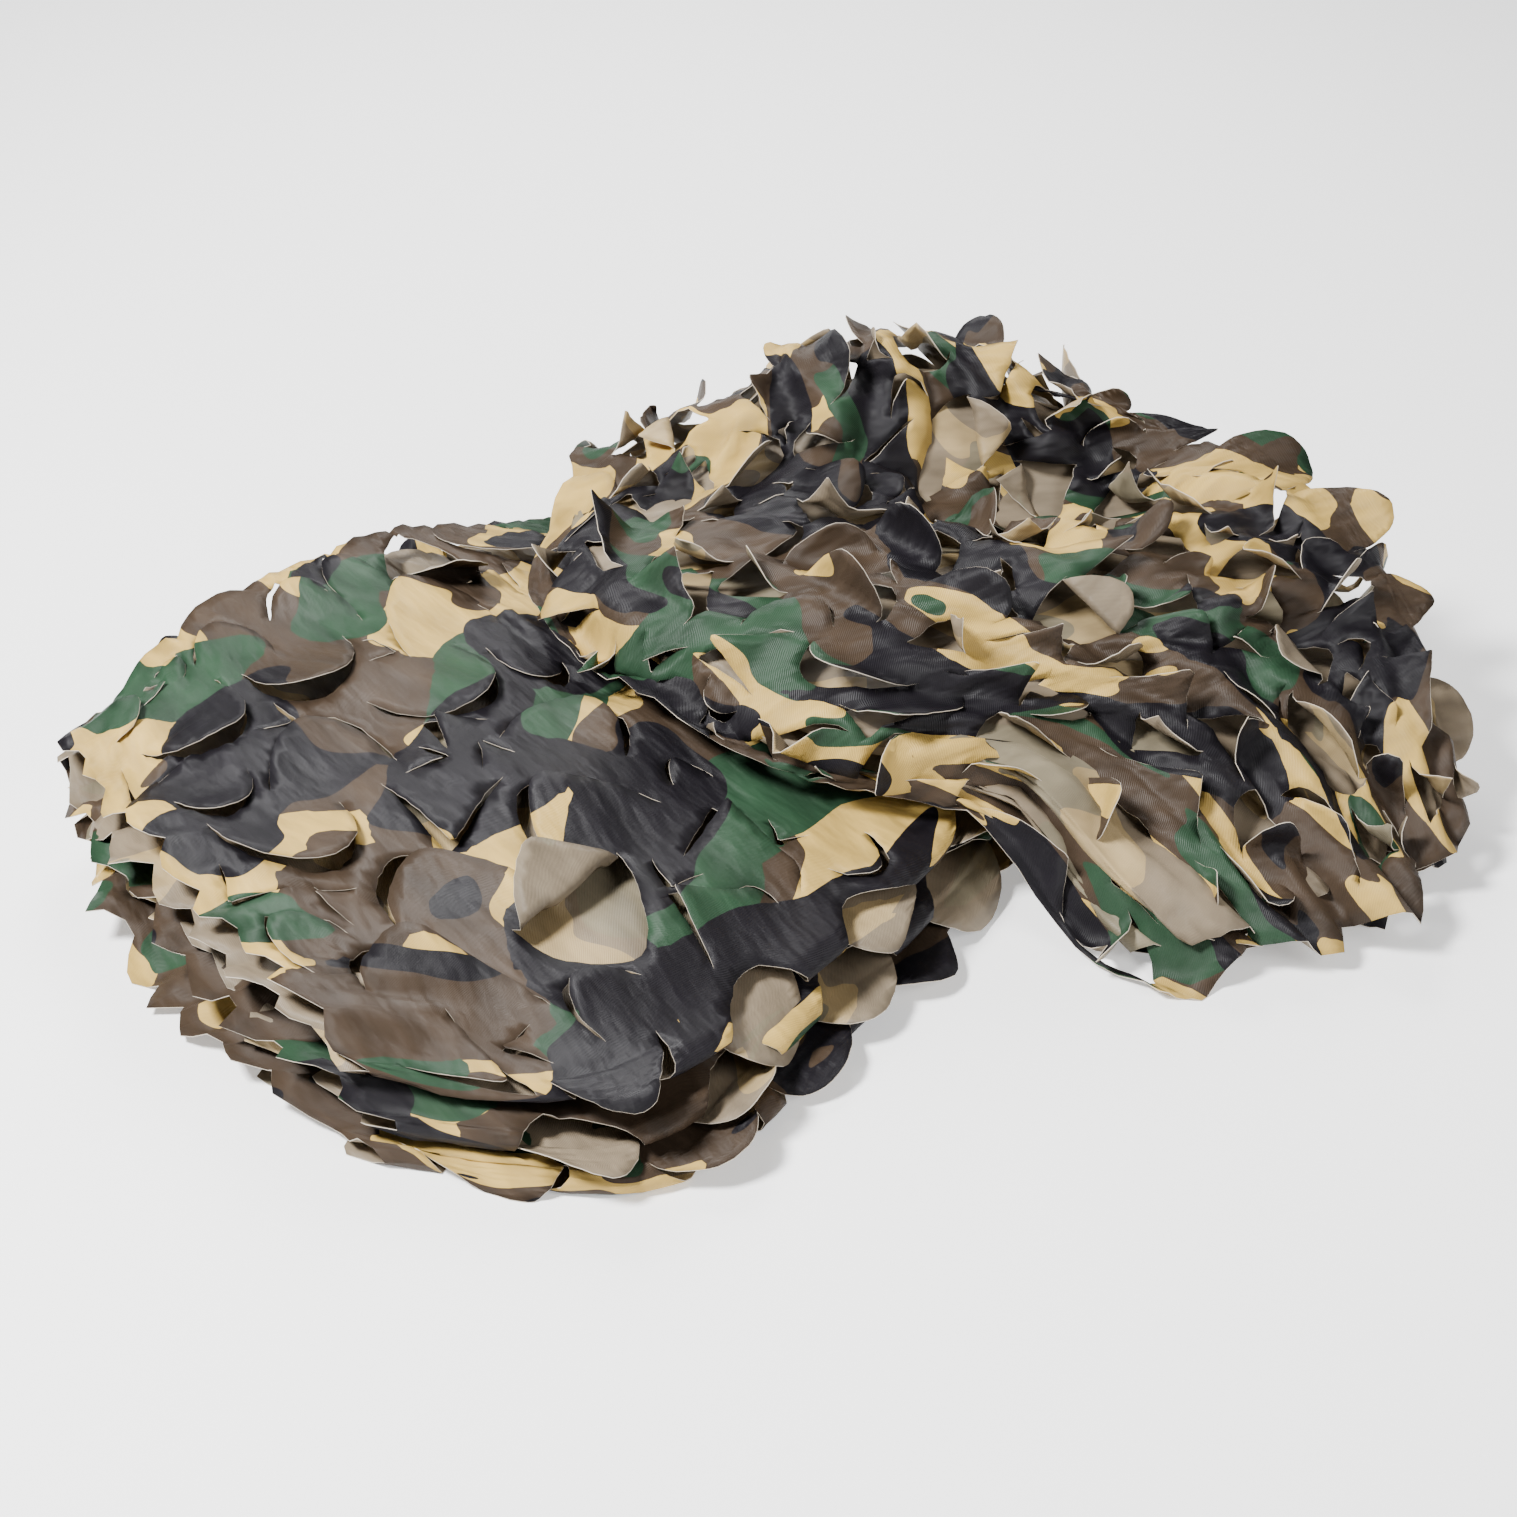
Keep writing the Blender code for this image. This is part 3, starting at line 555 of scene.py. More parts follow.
def leaf_flat(one, p, q):
    """The places on the flat cloth of points p along a leaf's hinge and q out from it."""
    aside, out = p + one.skew * q, one.way * q
    c, s = math.cos(one.turn), math.sin(one.turn)
    return np.stack([aside * c - out * s, aside * s + out * c], axis=-1) + one.hinge


def leaf_local(one, places):
    """The reverse of leaf_flat."""
    c, s = math.cos(one.turn), math.sin(one.turn)
    du, dv = (places - one.hinge).T
    q = (dv * c - du * s) * one.way
    return du * c + dv * s - one.skew * q, q


def lattice_leaves(panel, first_along, last_along):
    """The leaves of one panel's lattice between two places along the strip."""
    chance = np.random.default_rng(LEAF_SEED + panel)
    pitch_u, pitch_v = NET_WIDTH / LEAF_COLUMNS, (PANEL - LEAF_BORDER) / PANEL_ROWS
    first_v = panel * PANEL + (0.0 if panel else LEAF_BORDER)
    leaves = []
    for row in range(PANEL_ROWS):
        for column in range(LEAF_COLUMNS):
            side, size, width, skew, lift, curl = chance.random(6)
            u = (column + FIRST_LEAF + 0.5 * (row % 2)) * pitch_u
            way = 1 if side < 0.5 else -1
            half = LEAF_HALF_CHORD * (LEAST_CHORD + (1 - LEAST_CHORD) * width)
            length = LEAF_LENGTH * (LEAST_LENGTH + (1 - LEAST_LENGTH) * size)
            v = first_v + (row + 0.5) * pitch_v - way * length / 2
            if first_along < u / NET_WIDTH < last_along:
                opened = LEAST_LIFT + FURTHER_LIFT * lift ** FEW_LIFTED
                if u / NET_WIDTH < TURN_LEAVES_END and panel == 0:
                    opened *= TURN_LEAVES_LIFT
                bend = LEAF_CURL * (curl - CURLED_IN)
                leaves.append(leaf((u, v), way, half, length, LEAF_SKEW * (skew - 0.5), opened, bend))
    return leaves


def side_leaves():
    """The leaves at the fold lines, pointing out of the strip's sides."""
    chance = np.random.default_rng(LEAF_SEED + SIDE_SEED)
    leaves = []
    for fold_number in range(1, PANELS):
        for place in SIDE_PLACES:
            nudge, size, skew, side = chance.random(4)
            u = (place + SIDE_STAGGER * (fold_number // 2)) * NET_WIDTH + SIDE_NUDGE * (nudge - 0.5)
            way = 1 if side < 0.5 else -1
            half = LEAF_HALF_CHORD * SIDE_CHORD
            length = LEAF_LENGTH * (SIDE_LEAST_LENGTH + SIDE_MORE_LENGTH * size)
            v = fold_number * PANEL - way * SIDE_HINGE_INSIDE
            lift = SIDE_LIFT if fold_number % 2 else -SIDE_LIFT
            leaves.append(leaf((u, v), way, half, length, SIDE_SKEW * (skew - 0.5), lift, 0.0))
    return leaves


def upper_leg_plan():
    """The outline of the upper leg seen from above."""
    return np.concatenate([UPPER[:, 1:3], UPPER[::-1, 3:5]])


def leaf_loop(one):
    """A leaf's cut edge as a smooth curve, and then its hinge, as one loop of places on the flat cloth."""
    edge = ((1, 0), *one.edge, (-1, 0))
    corners = np.array([(x * one.half, y * one.length) for x, y in edge])
    ends = np.concatenate([2 * corners[:1] - corners[1:2], corners, 2 * corners[-1:] - corners[-2:-1]])
    spots = []
    for a, b, c, d in zip(ends, ends[1:], ends[2:], ends[3:]):
        steps = max(2, round(math.dist(b, c) / EDGE_SPACING))
        t = (np.arange(steps) / steps)[:, None]
        curve = t * (c - a) + t * t * (2 * a - 5 * b + 4 * c - d) + t ** 3 * (3 * b - a - 3 * c + d)
        spots.append(b + curve / 2)
    count = max(2, round(2 * one.half / EDGE_SPACING))
    p = one.half * (2 * np.arange(count) / count - 1)
    spots.append(np.stack([p, 0 * p], axis=1))
    return leaf_flat(one, *np.concatenate(spots).T)


def lies_open(one, plan):
    """Whether nothing lies over a leaf of the lower leg."""
    spots = fold(*one.loop.T)[:, :2]
    inward = plan.mean(axis=0) - spots
    spots += OPEN_MARGIN * inward / size_of(inward)
    return not inside_many(plan, spots).any()


def taken_by(leaves):
    """Where the hinges of some leaves are, and half of each leaf's chord, as a table."""
    return np.array([(*one.hinge, one.half) for one in leaves]).reshape(-1, 3)


def near_leaves(one, taken, share):
    """Which leaves' hinges lie near a leaf's own, within a share of the two leaves' sizes."""
    gaps = np.linalg.norm(taken[:, :2] - one.hinge, axis=1)
    return np.nonzero(gaps < share * (one.half + taken[:, 2]))[0]


def clear_of(one, others, taken):
    """Whether a leaf keeps its distance from the leaves already chosen."""
    for other in (others[i] for i in near_leaves(one, taken, LEAF_REACH)):
        apart = np.linalg.norm(one.loop[:, None] - other.loop[None], axis=2).min()
        if apart < CUT_APART or inside_many(other.loop, one.loop[:1]).any():
            return False
    return True


def on_cloth(one):
    """Whether a leaf lies inside the cloth's edges."""
    room = np.minimum(one.loop, np.array([NET_WIDTH, NET_LENGTH]) - one.loop)
    return room.min() > LEAF_BORDER


def small_leaf(share, on_lobe, chance):
    """One smaller leaf at a random place of a leg, nearly shut on the lobe and standing up on the heap."""
    along, across_leg, side, lift, curl, skew, turn, shape = chance.random(8)
    first, last = (0.0, TURN_START) if on_lobe else (TURN_START, 1.0)
    u = NET_WIDTH * (first + along * (last - first))
    v = PANEL * ((PANELS - 1 if on_lobe else 0) + across_leg)
    opened = LOBE_SHUT + LOBE_SHUT_FURTHER * lift if on_lobe else LEAST_LIFT + SMALL_FURTHER_LIFT * lift
    curl = LEAF_CURL * (curl - CURLED_IN) * (LOBE_CURL if on_lobe else 1.0)
    one = leaf(
        (u, v), 1 if side < 0.5 else -1, LEAF_HALF_CHORD * share, LEAF_LENGTH * share,
        2 * LEAF_SKEW * (skew - 0.5), opened, curl,
    )
    one.turn = SMALL_TURN * (2 * turn - 1)
    one.edge = LEAF_EDGES[int(len(LEAF_EDGES) * shape)]
    return one


def with_small_leaves(leaves, plan):
    """All the leaves, once smaller ones are cut in the room between the others, the largest first."""
    chance = np.random.default_rng(LEAF_SEED + SMALL_SEED)
    found = list(leaves)
    taken = taken_by(found)
    for number in range(SMALL_TRIES):
        on_lobe = chance.random() < SMALL_ON_LOBE
        most, least = LOBE_SIZES if on_lobe else HEAP_SIZES
        one = small_leaf(most - (most - least) * math.sqrt(number / SMALL_TRIES), on_lobe, chance)
        if len(near_leaves(one, taken, SMALL_TOO_NEAR)):
            continue
        from_fold = min(one.hinge[1] - NET_LENGTH + PANEL, NET_LENGTH - one.hinge[1])
        if on_lobe and from_fold < SMALL_FROM_FOLD:
            continue
        one.loop = leaf_loop(one)
        if on_cloth(one) and clear_of(one, found, taken) and (not on_lobe or lies_open(one, plan)):
            found.append(one)
            taken = taken_by(found)
    return found


def behind_roll(one):
    """Whether a side leaf stands where the upper leg's near edge is rolled down over it."""
    at_near_edge = round(one.hinge[1] / PANEL) % 2 == 0
    return at_near_edge and one.hinge[0] > NET_WIDTH * (ROLL_FROM + ROLL_OVER / 2)


def behind_turn(one):
    """Whether a leaf stands on the lower half of the strip's turn, which faces back and down."""
    return TURN_START < one.hinge[0] / NET_WIDTH < (TURN_START + TURN_END) / 2


def opened(one, turn, shape, wilt, twist):
    """Shapes and opens a large leaf by where it is, and says whether it is at a side and on the heap."""
    at_side = abs(one.lift) <= SIDE_LIFT
    on_heap = not at_side and one.hinge[1] < PANEL
    shapes = len(LEAF_EDGES) if on_heap else ROUND_EDGES
    one.turn, one.edge = LEAF_TURN * (2 * turn - 1), LEAF_EDGES[int(shapes * shape)]
    size = SIDE_LEAF if at_side else (HEAP_LEAF if on_heap else LOBE_LEAF)
    one.half *= size
    one.length *= size
    if at_side:
        one.stretch = 1.0
        one.lift += SIDE_WILT * (2 * wilt - 1)
        one.curl = 2 * SIDE_WILT * (2 * twist - 1)
    elif on_heap:
        one.lift *= HEAP_LIFT
    else:
        one.lift = LOBE_SHUT + LOBE_LIFT * one.lift
        one.curl *= LOBE_CURL
    one.loop = leaf_loop(one)
    return at_side, on_heap


def large_leaves(plan, chance):
    """The large leaves that show and keep clear of each other, and how many of them are at the sides."""
    leaves, sides = [], 0
    lattices = lattice_leaves(PANELS - 1, 0.0, TURN_START) + lattice_leaves(0, TURN_START, 1.0)
    for one in side_leaves() + lattices:
        at_side, on_heap = opened(one, *chance.random(4))
        if at_side:
            covered = behind_roll(one)
        else:
            covered = not on_heap and not lies_open(one, plan)
        if on_cloth(one) and not covered and clear_of(one, leaves, taken_by(leaves)):
            leaves.append(one)
            sides += at_side
    return leaves, sides


def open_leaves():
    """Every leaf that shows, each with its own bend. Some are folded right back, pale side up."""
    plan = upper_leg_plan()
    chance = np.random.default_rng(LEAF_SEED + BEND_SEED)
    leaves, sides = large_leaves(plan, chance)
    large = len(leaves)
    leaves = with_small_leaves(leaves, plan)
    for number, one in enumerate(leaves):
        cup, twist, back = chance.random(3)
        calm = LOBE_CURL if one.hinge[1] > NET_LENGTH - PANEL and number >= sides else 1.0
        one.cup = calm * LEAF_CUP * (cup - CUPPED_IN)
        one.twist = calm * LEAF_TWIST * (2 * twist - 1)
        if behind_turn(one):
            one.lift = min(one.lift, BEHIND_STEEPEST)
        if sides <= number < large and back < FOLDED_BACK:
            one.lift, one.curl, one.stretch = BACK_LIFT, BACK_CURL, 1.0
    return leaves


def zones(u, v):
    """Which places lie on the lobe's flat top, on the heaped upper leg, and at the sides and ends."""
    along = u / NET_WIDTH
    layer = layer_at(v)
    to_fold = np.abs((v + PANEL / 2) % PANEL - PANEL / 2)
    lobe = (layer == PANELS - 1) & (along < TURN_START + LOBE_PAST_TURN)
    heap = (layer == 0) & (along > TURN_START)
    side = (to_fold < SIDE_DEPTH) | (along < SIDE_DEPTH) | (along > 1 - SIDE_DEPTH)
    return lobe, heap, side & ~lobe & ~heap


def by_zone(u, v, values):
    """A value for each place: on the lobe, on the heap, at the sides, and elsewhere."""
    lobe, heap, side = zones(u, v)
    return np.select([lobe, heap, side], values[:3], values[3])


def noise(x, y, seed):
    """Smooth random heights from -1 to 1 over a plane, about one hill for each unit."""
    grid = np.random.default_rng(seed).random((NOISE_GRID, NOISE_GRID)) * 2 - 1
    i, j = np.floor(x).astype(int), np.floor(y).astype(int)
    s, t = ease(x - i), ease(y - j)
    i, j = i % NOISE_GRID, j % NOISE_GRID
    i1, j1 = (i + 1) % NOISE_GRID, (j + 1) % NOISE_GRID
    low = grid[i, j] * (1 - s) + grid[i1, j] * s
    high = grid[i, j1] * (1 - s) + grid[i1, j1] * s
    return low * (1 - t) + high * t


def hills(name, u, v):
    """One of the named noises at places on the flat cloth."""
    x_for_u, x_for_v, y_for_u, y_for_v, seed = HILLS[name]
    return noise(x_for_u * u + x_for_v * v, y_for_u * u + y_for_v * v, seed)


def first_wrinkles(u, v):
    """Where the cloth starts to stand out of its folds, before it crumples further."""
    layer = layer_at(v)
    from_fold = np.minimum(v - layer * PANEL, (layer + 1) * PANEL - v)
    by_fold = DEPTH_AT_FOLDS + (1 - DEPTH_AT_FOLDS) * ease(from_fold / SIDE_DEPTH)
    depth = by_zone(u, v, FIRST_DEPTH) * by_fold
    ridges = 1 - RIDGE_SHARPNESS * np.abs(hills("ridges", u, v))
    short = SHORT_TOP - np.abs(hills("short", u, v))
    near_end = np.maximum(END_REACH - u, u - NET_WIDTH + END_REACH)
    curled = END_CURL * ease(near_end / END_OVER) * hills("ends", u, v)
    scrunched = zones(u, v)[1] * ease((v - PLEATS_FROM) / PLEATS_OVER) * ease((PANEL - v) / SIDE_DEPTH)
    pleats = np.abs(np.sin(math.pi * (v / PLEAT + PLEAT_WANDER * hills("pleats", u, v)))) - PLEAT_MIDDLE
    wrinkles = depth * (SLOW_SHARE * hills("slow", u, v) + ridges + short)
    return wrinkles + curled + PLEAT_DEPTH * scrunched * pleats


def rolled(u, v):
    """Where the flat cloth lies, once the upper leg's near edge is rolled down over the layers below it."""
    point = fold(u, v)
    share = ease((u / NET_WIDTH - ROLL_FROM) / ROLL_OVER) * (v < PANEL)
    where = share > 0
    if not where.any():
        return point
    u, v, share = u[where], v[where], share[where]
    kept = ROLL_INSIDE + np.maximum(v - ROLL_CLOTH, 0) * (PANEL - ROLL_INSIDE) / (PANEL - ROLL_CLOTH)
    low = fold(u, kept)
    way = low - fold(u, kept + NEARBY)
    way[:, 2] = 0
    way /= size_of(way)
    long = ROLL_STRETCH * np.maximum(ROLL_CLOTH - v, 0)
    turned = np.minimum(long / ROLL_RADIUS, ROLL_STEEPEST)
    straight = long - ROLL_RADIUS * turned
    low += way * (ROLL_RADIUS * np.sin(turned) + straight * math.cos(ROLL_STEEPEST))[:, None]
    down = ROLL_RADIUS * (1 - np.cos(turned)) + straight * math.sin(ROLL_STEEPEST)
    low[:, 2] = np.maximum(low[:, 2] - down, support(low[:, 0], low[:, 1]) + ROLL_CLEAR)
    point[where] += share[:, None] * (low - point[where])
    return point


def laid(u, v):
    """Where the flat cloth lies in the pile when first wrinkled, and the ways along, over and out of it.

    The first two ways are as long as the cloth is stretched there.
    """
    along = (rolled(u + NEARBY, v) - rolled(u - NEARBY, v)) / (2 * NEARBY)
    over = (rolled(u, v + NEARBY) - rolled(u, v - NEARBY)) / (2 * NEARBY)
    normal = np.cross(along, over)
    normal /= size_of(normal)
    return rolled(u, v) + normal * first_wrinkles(u, v)[:, None], along, over, normal


def inside_many(polygon, spots):
    """Which of many points lie inside a polygon."""
    x, y = spots[:, 0], spots[:, 1]
    found = np.zeros(len(spots), bool)
    for (x0, y0), (x1, y1) in zip(polygon, np.roll(polygon, -1, axis=0)):
        if y0 != y1:
            found ^= ((y0 > y) != (y1 > y)) & (x < x0 + (y - y0) / (y1 - y0) * (x1 - x0))
    return found


def drawn(places):
    """The flat cloth as it is cut into triangles, with its folds drawn wide."""
    u, v = places[:, 0], places[:, 1]
    wide = v.copy()
    for number in range(1, PANELS):
        wide += (FOLD_STRETCH - 1) * np.clip(v - number * PANEL + FOLD_HALF, 0, 2 * FOLD_HALF)
    return np.stack([u, wide], axis=1)


def pointed(share, tips, seed):
    """An uneven row of pointed tips: how far out the edge stands at shares of the way along it."""
    chance = np.random.default_rng(LEAF_SEED + seed)
    points = 2 * PANELS * tips + 1
    spots = np.arange(points) / (points - 1)
    spots[1:-1] += (chance.random(points - 2) - 0.5) / points
    tip = LEAST_TIP + (1 - LEAST_TIP) * chance.random(points)
    notch = -TIP_NOTCH * chance.random(points)
    return END_TIP * np.interp(share, spots, np.where(np.arange(points) % 2, tip, notch))


def cloth_outline():
    """The cloth's four edges: pointed tips at the free ends, and scallops along the sides."""
    v = np.linspace(0, NET_LENGTH, round(NET_LENGTH / SIDE_SPACING))
    left = np.stack([-pointed(v / NET_LENGTH, *LEFT_TIPS), v], 1)[::-1]
    right = np.stack([NET_WIDTH + pointed(v / NET_LENGTH, *RIGHT_TIPS), v], 1)
    u = np.linspace(0, NET_WIDTH, round(NET_WIDTH / SIDE_SPACING))[1:-1]
    notch = SCALLOP_DEPTH * (1 - np.abs(np.sin(math.pi * (u / SCALLOP + hills("scallops", u, 0)))))
    near, far = np.stack([u, notch], 1), np.stack([u, NET_LENGTH - notch], 1)[::-1]
    return np.concatenate([left, near, right, far])


def spacing_at(places):
    """How close together the cloth's points are at each place."""
    return by_zone(places[:, 0], places[:, 1], SPACINGS)


def inner_places():
    """The points inside the cloth, close together where it shows."""
    chance = np.random.default_rng(LEAF_SEED + INNER_SEED)
    even = np.linspace(0, NET_LENGTH, FOLD_TABLE)
    levels = drawn(np.stack([0 * even, even], 1))[:, 1]
    found = []
    for spacing in SPACINGS:
        rows = np.arange(spacing / 2, levels[-1], spacing * ROW_SHARE)
        x, y = np.meshgrid(np.arange(spacing / 2, NET_WIDTH - EDGE_ROOM, spacing), rows)
        x = x + spacing / 2 * (np.arange(len(rows)) % 2)[:, None]
        x = x + spacing * NUDGE_U * (chance.random(x.shape) - 0.5)
        y = y + spacing * NUDGE_V * (chance.random(x.shape) - 0.5)
        places = np.stack([x.ravel(), np.interp(y.ravel(), levels, even)], 1)
        room = np.minimum(places, np.array([NET_WIDTH, NET_LENGTH]) - places).min(axis=1)
        found.append(places[np.isclose(spacing_at(places), spacing) & (room > EDGE_ROOM)])
    return np.concatenate(found)


def away_from(places, edges):
    """The places that aren't crowded by a set of edge points."""
    tree = KDTree(len(edges))
    for i, (x, y) in enumerate(drawn(edges)):
        tree.insert((x, y, 0.0), i)
    tree.balance()
    near = np.array([tree.find((x, y, 0.0))[2] for x, y in drawn(places)])
    return places[near > CROWDED * spacing_at(places)]


def flat_cloth(leaves):
    """The flat cloth in triangles: its points, its faces, and the leaf that each face lies in or -1."""
    loops = [cloth_outline()] + [one.loop for one in leaves]
    edges, first = [], 0
    for loop in loops:
        edges += [(first + i, first + (i + 1) % len(loop)) for i in range(len(loop))]
        first += len(loop)
    rims = np.concatenate(loops)
    places = np.concatenate([rims, away_from(inner_places(), rims)])
    cut = delaunay_2d_cdt([Vector(spot) for spot in drawn(places)], edges, [], 1, CUT_EXACT)
    places = np.array([places[origins[0]] for origins in cut[3]])
    faces = np.array(cut[2])
    middles = places[faces].mean(axis=1)
    owner = np.full(len(faces), -1)
    for number, one in enumerate(leaves):
        close = np.nonzero(np.abs(middles - one.hinge).max(axis=1) < 2 * LEAF_LENGTH)[0]
        owner[close[inside_many(one.loop, middles[close])]] = number
    return places, faces, owner


def bent(one, q):
    """How far out and how far up a leaf's cloth lies at distances from its hinge."""
    steps = np.linspace(0, one.length * BEND_PAST, BEND_STEPS)
    angle = one.lift * ease(steps / HINGE_BEND) + one.curl * steps / one.length
    ahead = np.concatenate([[0], np.cumsum(np.cos(angle[:-1]) * np.diff(steps))])
    up = np.concatenate([[0], np.cumsum(np.sin(angle[:-1]) * np.diff(steps))])
    return np.interp(q, steps, ahead), np.interp(q, steps, up)


def leaf_shape(one, places):
    """Where points of a leaf lie once it is bent up at its hinge, curled, cupped and twisted."""
    p, q = leaf_local(one, places)
    share = np.maximum(q, 0.0) / one.length
    narrowed = p * (1 - LEAF_NARROWING * min(1.0, abs(one.lift)) * share)
    foot = leaf_flat(one, narrowed, np.zeros_like(q))
    base, along, over, normal = laid(foot[:, 0], foot[:, 1])
    out = one.way * (over * math.cos(one.turn) - along * math.sin(one.turn))
    stretch = size_of(out)
    out /= stretch
    stretch = np.clip(stretch, 1.0, one.stretch)
    ahead, up = bent(one, q)
    side = p / one.half
    up = up + one.cup * side ** 2 * share + np.sin(one.twist * side) * q * share
    return base + stretch * (out * ahead[:, None] + normal * up[:, None])


def cut_cloth(leaves):
    """The cloth in the pile with its leaves cut free: points, faces, flat places, and which are leaves'."""
    places, faces, owner = flat_cloth(leaves)
    points, flat = [laid(places[:, 0], places[:, 1])[0]], [places]
    count = len(places)
    for number, one in enumerate(leaves):
        own = np.nonzero(owner == number)[0]
        used = np.unique(faces[own])
        free = used[leaf_local(one, places[used])[1] > HINGE_WITHIN]
        copies = np.arange(len(places))
        copies[free] = count + np.arange(len(free))
        points.append(leaf_shape(one, places[free]))
        flat.append(places[free])
        faces[own] = copies[faces[own]]
        count += len(free)
    return np.concatenate(points), faces, np.concatenate(flat), np.arange(count) >= len(places)


def mesh_edges(faces):
    """Each edge of the triangles once, and the two corners that face each other across each shared edge."""
    ends = np.sort(np.concatenate([faces[:, [0, 1]], faces[:, [1, 2]], faces[:, [2, 0]]]), axis=1)
    facing = np.concatenate([faces[:, 2], faces[:, 0], faces[:, 1]])
    order = np.lexsort((ends[:, 1], ends[:, 0]))
    ends, facing = ends[order], facing[order]
    same = (ends[1:] == ends[:-1]).all(axis=1)
    edges = ends[np.concatenate([[True], ~same])]
    return edges, np.stack([facing[:-1][same], facing[1:][same]], axis=1)


def pulled(points, pairs, lengths, strength):
    """How far each point is moved by pairs of points that keep their lengths."""
    gap = points[pairs[:, 1]] - points[pairs[:, 0]]
    now = np.linalg.norm(gap, axis=1)
    move = gap * (strength / 2 * (now - lengths) / np.maximum(now, TINY))[:, None]
    ends = np.concatenate([pairs[:, 0], pairs[:, 1]])
    moves = np.concatenate([move, -move])
    return np.stack([np.bincount(ends, moves[:, i], len(points)) for i in range(3)], axis=1)


def crumpled(points, faces, flat, on_leaf):
    """The cloth once it has a little more length than its folds need, so that it buckles in creases."""
    u, v = flat.T
    growth = by_zone(u, v, GROWTH) * np.where(on_leaf, LEAF_GROWTH, 1.0)
    limit = by_zone(u, v, LIMIT)[:, None]
    edges, facing = mesh_edges(faces)
    lengths = []
    for pairs in (edges, facing):
        long = np.linalg.norm(points[pairs[:, 1]] - points[pairs[:, 0]], axis=1)
        cut = np.linalg.norm(flat[pairs[:, 1]] - flat[pairs[:, 0]], axis=1)
        kept = np.maximum(long, np.minimum(cut, MOST_TAKEN_UP * long))
        lengths.append(kept * (1 + growth[pairs].mean(axis=1)))
    shares = 1 / np.maximum(np.bincount(edges.ravel(), minlength=len(points)), 1)[:, None]
    base = points.copy()
    for _ in range(CRUMPLE_STEPS):
        move = pulled(points, edges, lengths[0], 1.0) + pulled(points, facing, lengths[1], STIFFNESS)
        points = points + CRUMPLE_PACE * move * shares
        away = points - base
        points = base + away * np.minimum(1, limit / np.maximum(size_of(away), TINY))
    points = points + pulled(points, edges, np.zeros(len(edges)), SMOOTH_PACE) * shares
    points[:, 2] = np.maximum(points[:, 2], CLOTH)
    return points


def print_leanings(flat):
    """For each colour of the print, how far each place of the cloth leans towards it or away from it."""
    u, v = flat.T
    lobe, heap, _ = zones(u, v)
    leanings = {name: np.select([lobe, heap], at[:2], at[2]) for name, at in PLAIN_LEANINGS.items()}
    ripples = [PATCH_WANDER * noise(u / PATCH_RIPPLE, v / PATCH_RIPPLE, seed) for seed in PATCH_SEEDS]
    u, v = u + ripples[0], v + ripples[1]
    for name, patches in MAIN_PATCHES.items():
        for patch_u, patch_v, long, wide, turn in patches:
            turn = math.radians(turn)
            ahead = (u - patch_u) * math.cos(turn) + (v - patch_v) * math.sin(turn)
            aside = (v - patch_v) * math.cos(turn) - (u - patch_u) * math.sin(turn)
            within = PATCH_SPREAD - np.hypot(ahead / long, aside / wide)
            leanings[name] = np.maximum(leanings[name], within)
    return leanings


def gathered(flat):
    """The print's places. The heap's cloth is bunched up, so its print lies closer together there."""
    u, v = flat.T
    return np.stack([
        u + BUNCHED * np.maximum(u - TURN_START * NET_WIDTH, 0),
        v + BUNCHED * np.minimum(v, PANEL),
    ], axis=1)


def placed(name, data):
    """A new object in the scene."""
    body = bpy.data.objects.new(name, data)
    bpy.context.scene.collection.objects.link(body)
    return body


def net_cloth():
    """The net as one thin cloth."""
    points, faces, flat, on_leaf = cut_cloth(open_leaves())
    points = crumpled(points, faces, flat, on_leaf) + PILE_SHIFT
    mesh = bpy.data.meshes.new("net_cloth")
    mesh.from_pydata(points.tolist(), [], faces.tolist())
    corners = np.empty(len(mesh.loops), int)
    mesh.loops.foreach_get("vertex_index", corners)
    mesh.uv_layers.new(name="flat").data.foreach_set("uv", flat[corners].ravel())
    mesh.uv_layers.new(name="print").data.foreach_set("uv", gathered(flat)[corners].ravel())
    for name, leaning in print_leanings(flat).items():
        mesh.attributes.new(name + "_leaning", "FLOAT", "POINT").data.foreach_set("value", leaning)
    mesh.shade_smooth()
    cloth = placed("net_cloth", mesh)
    for material in (print_side(), back_side(), cut_edge()):
        mesh.materials.append(material)
    thicken = cloth.modifiers.new("thickness", "SOLIDIFY")
    thicken.thickness = CLOTH
    thicken.offset = 0.0
    thicken.material_offset = 1
    thicken.material_offset_rim = 2
    return cloth


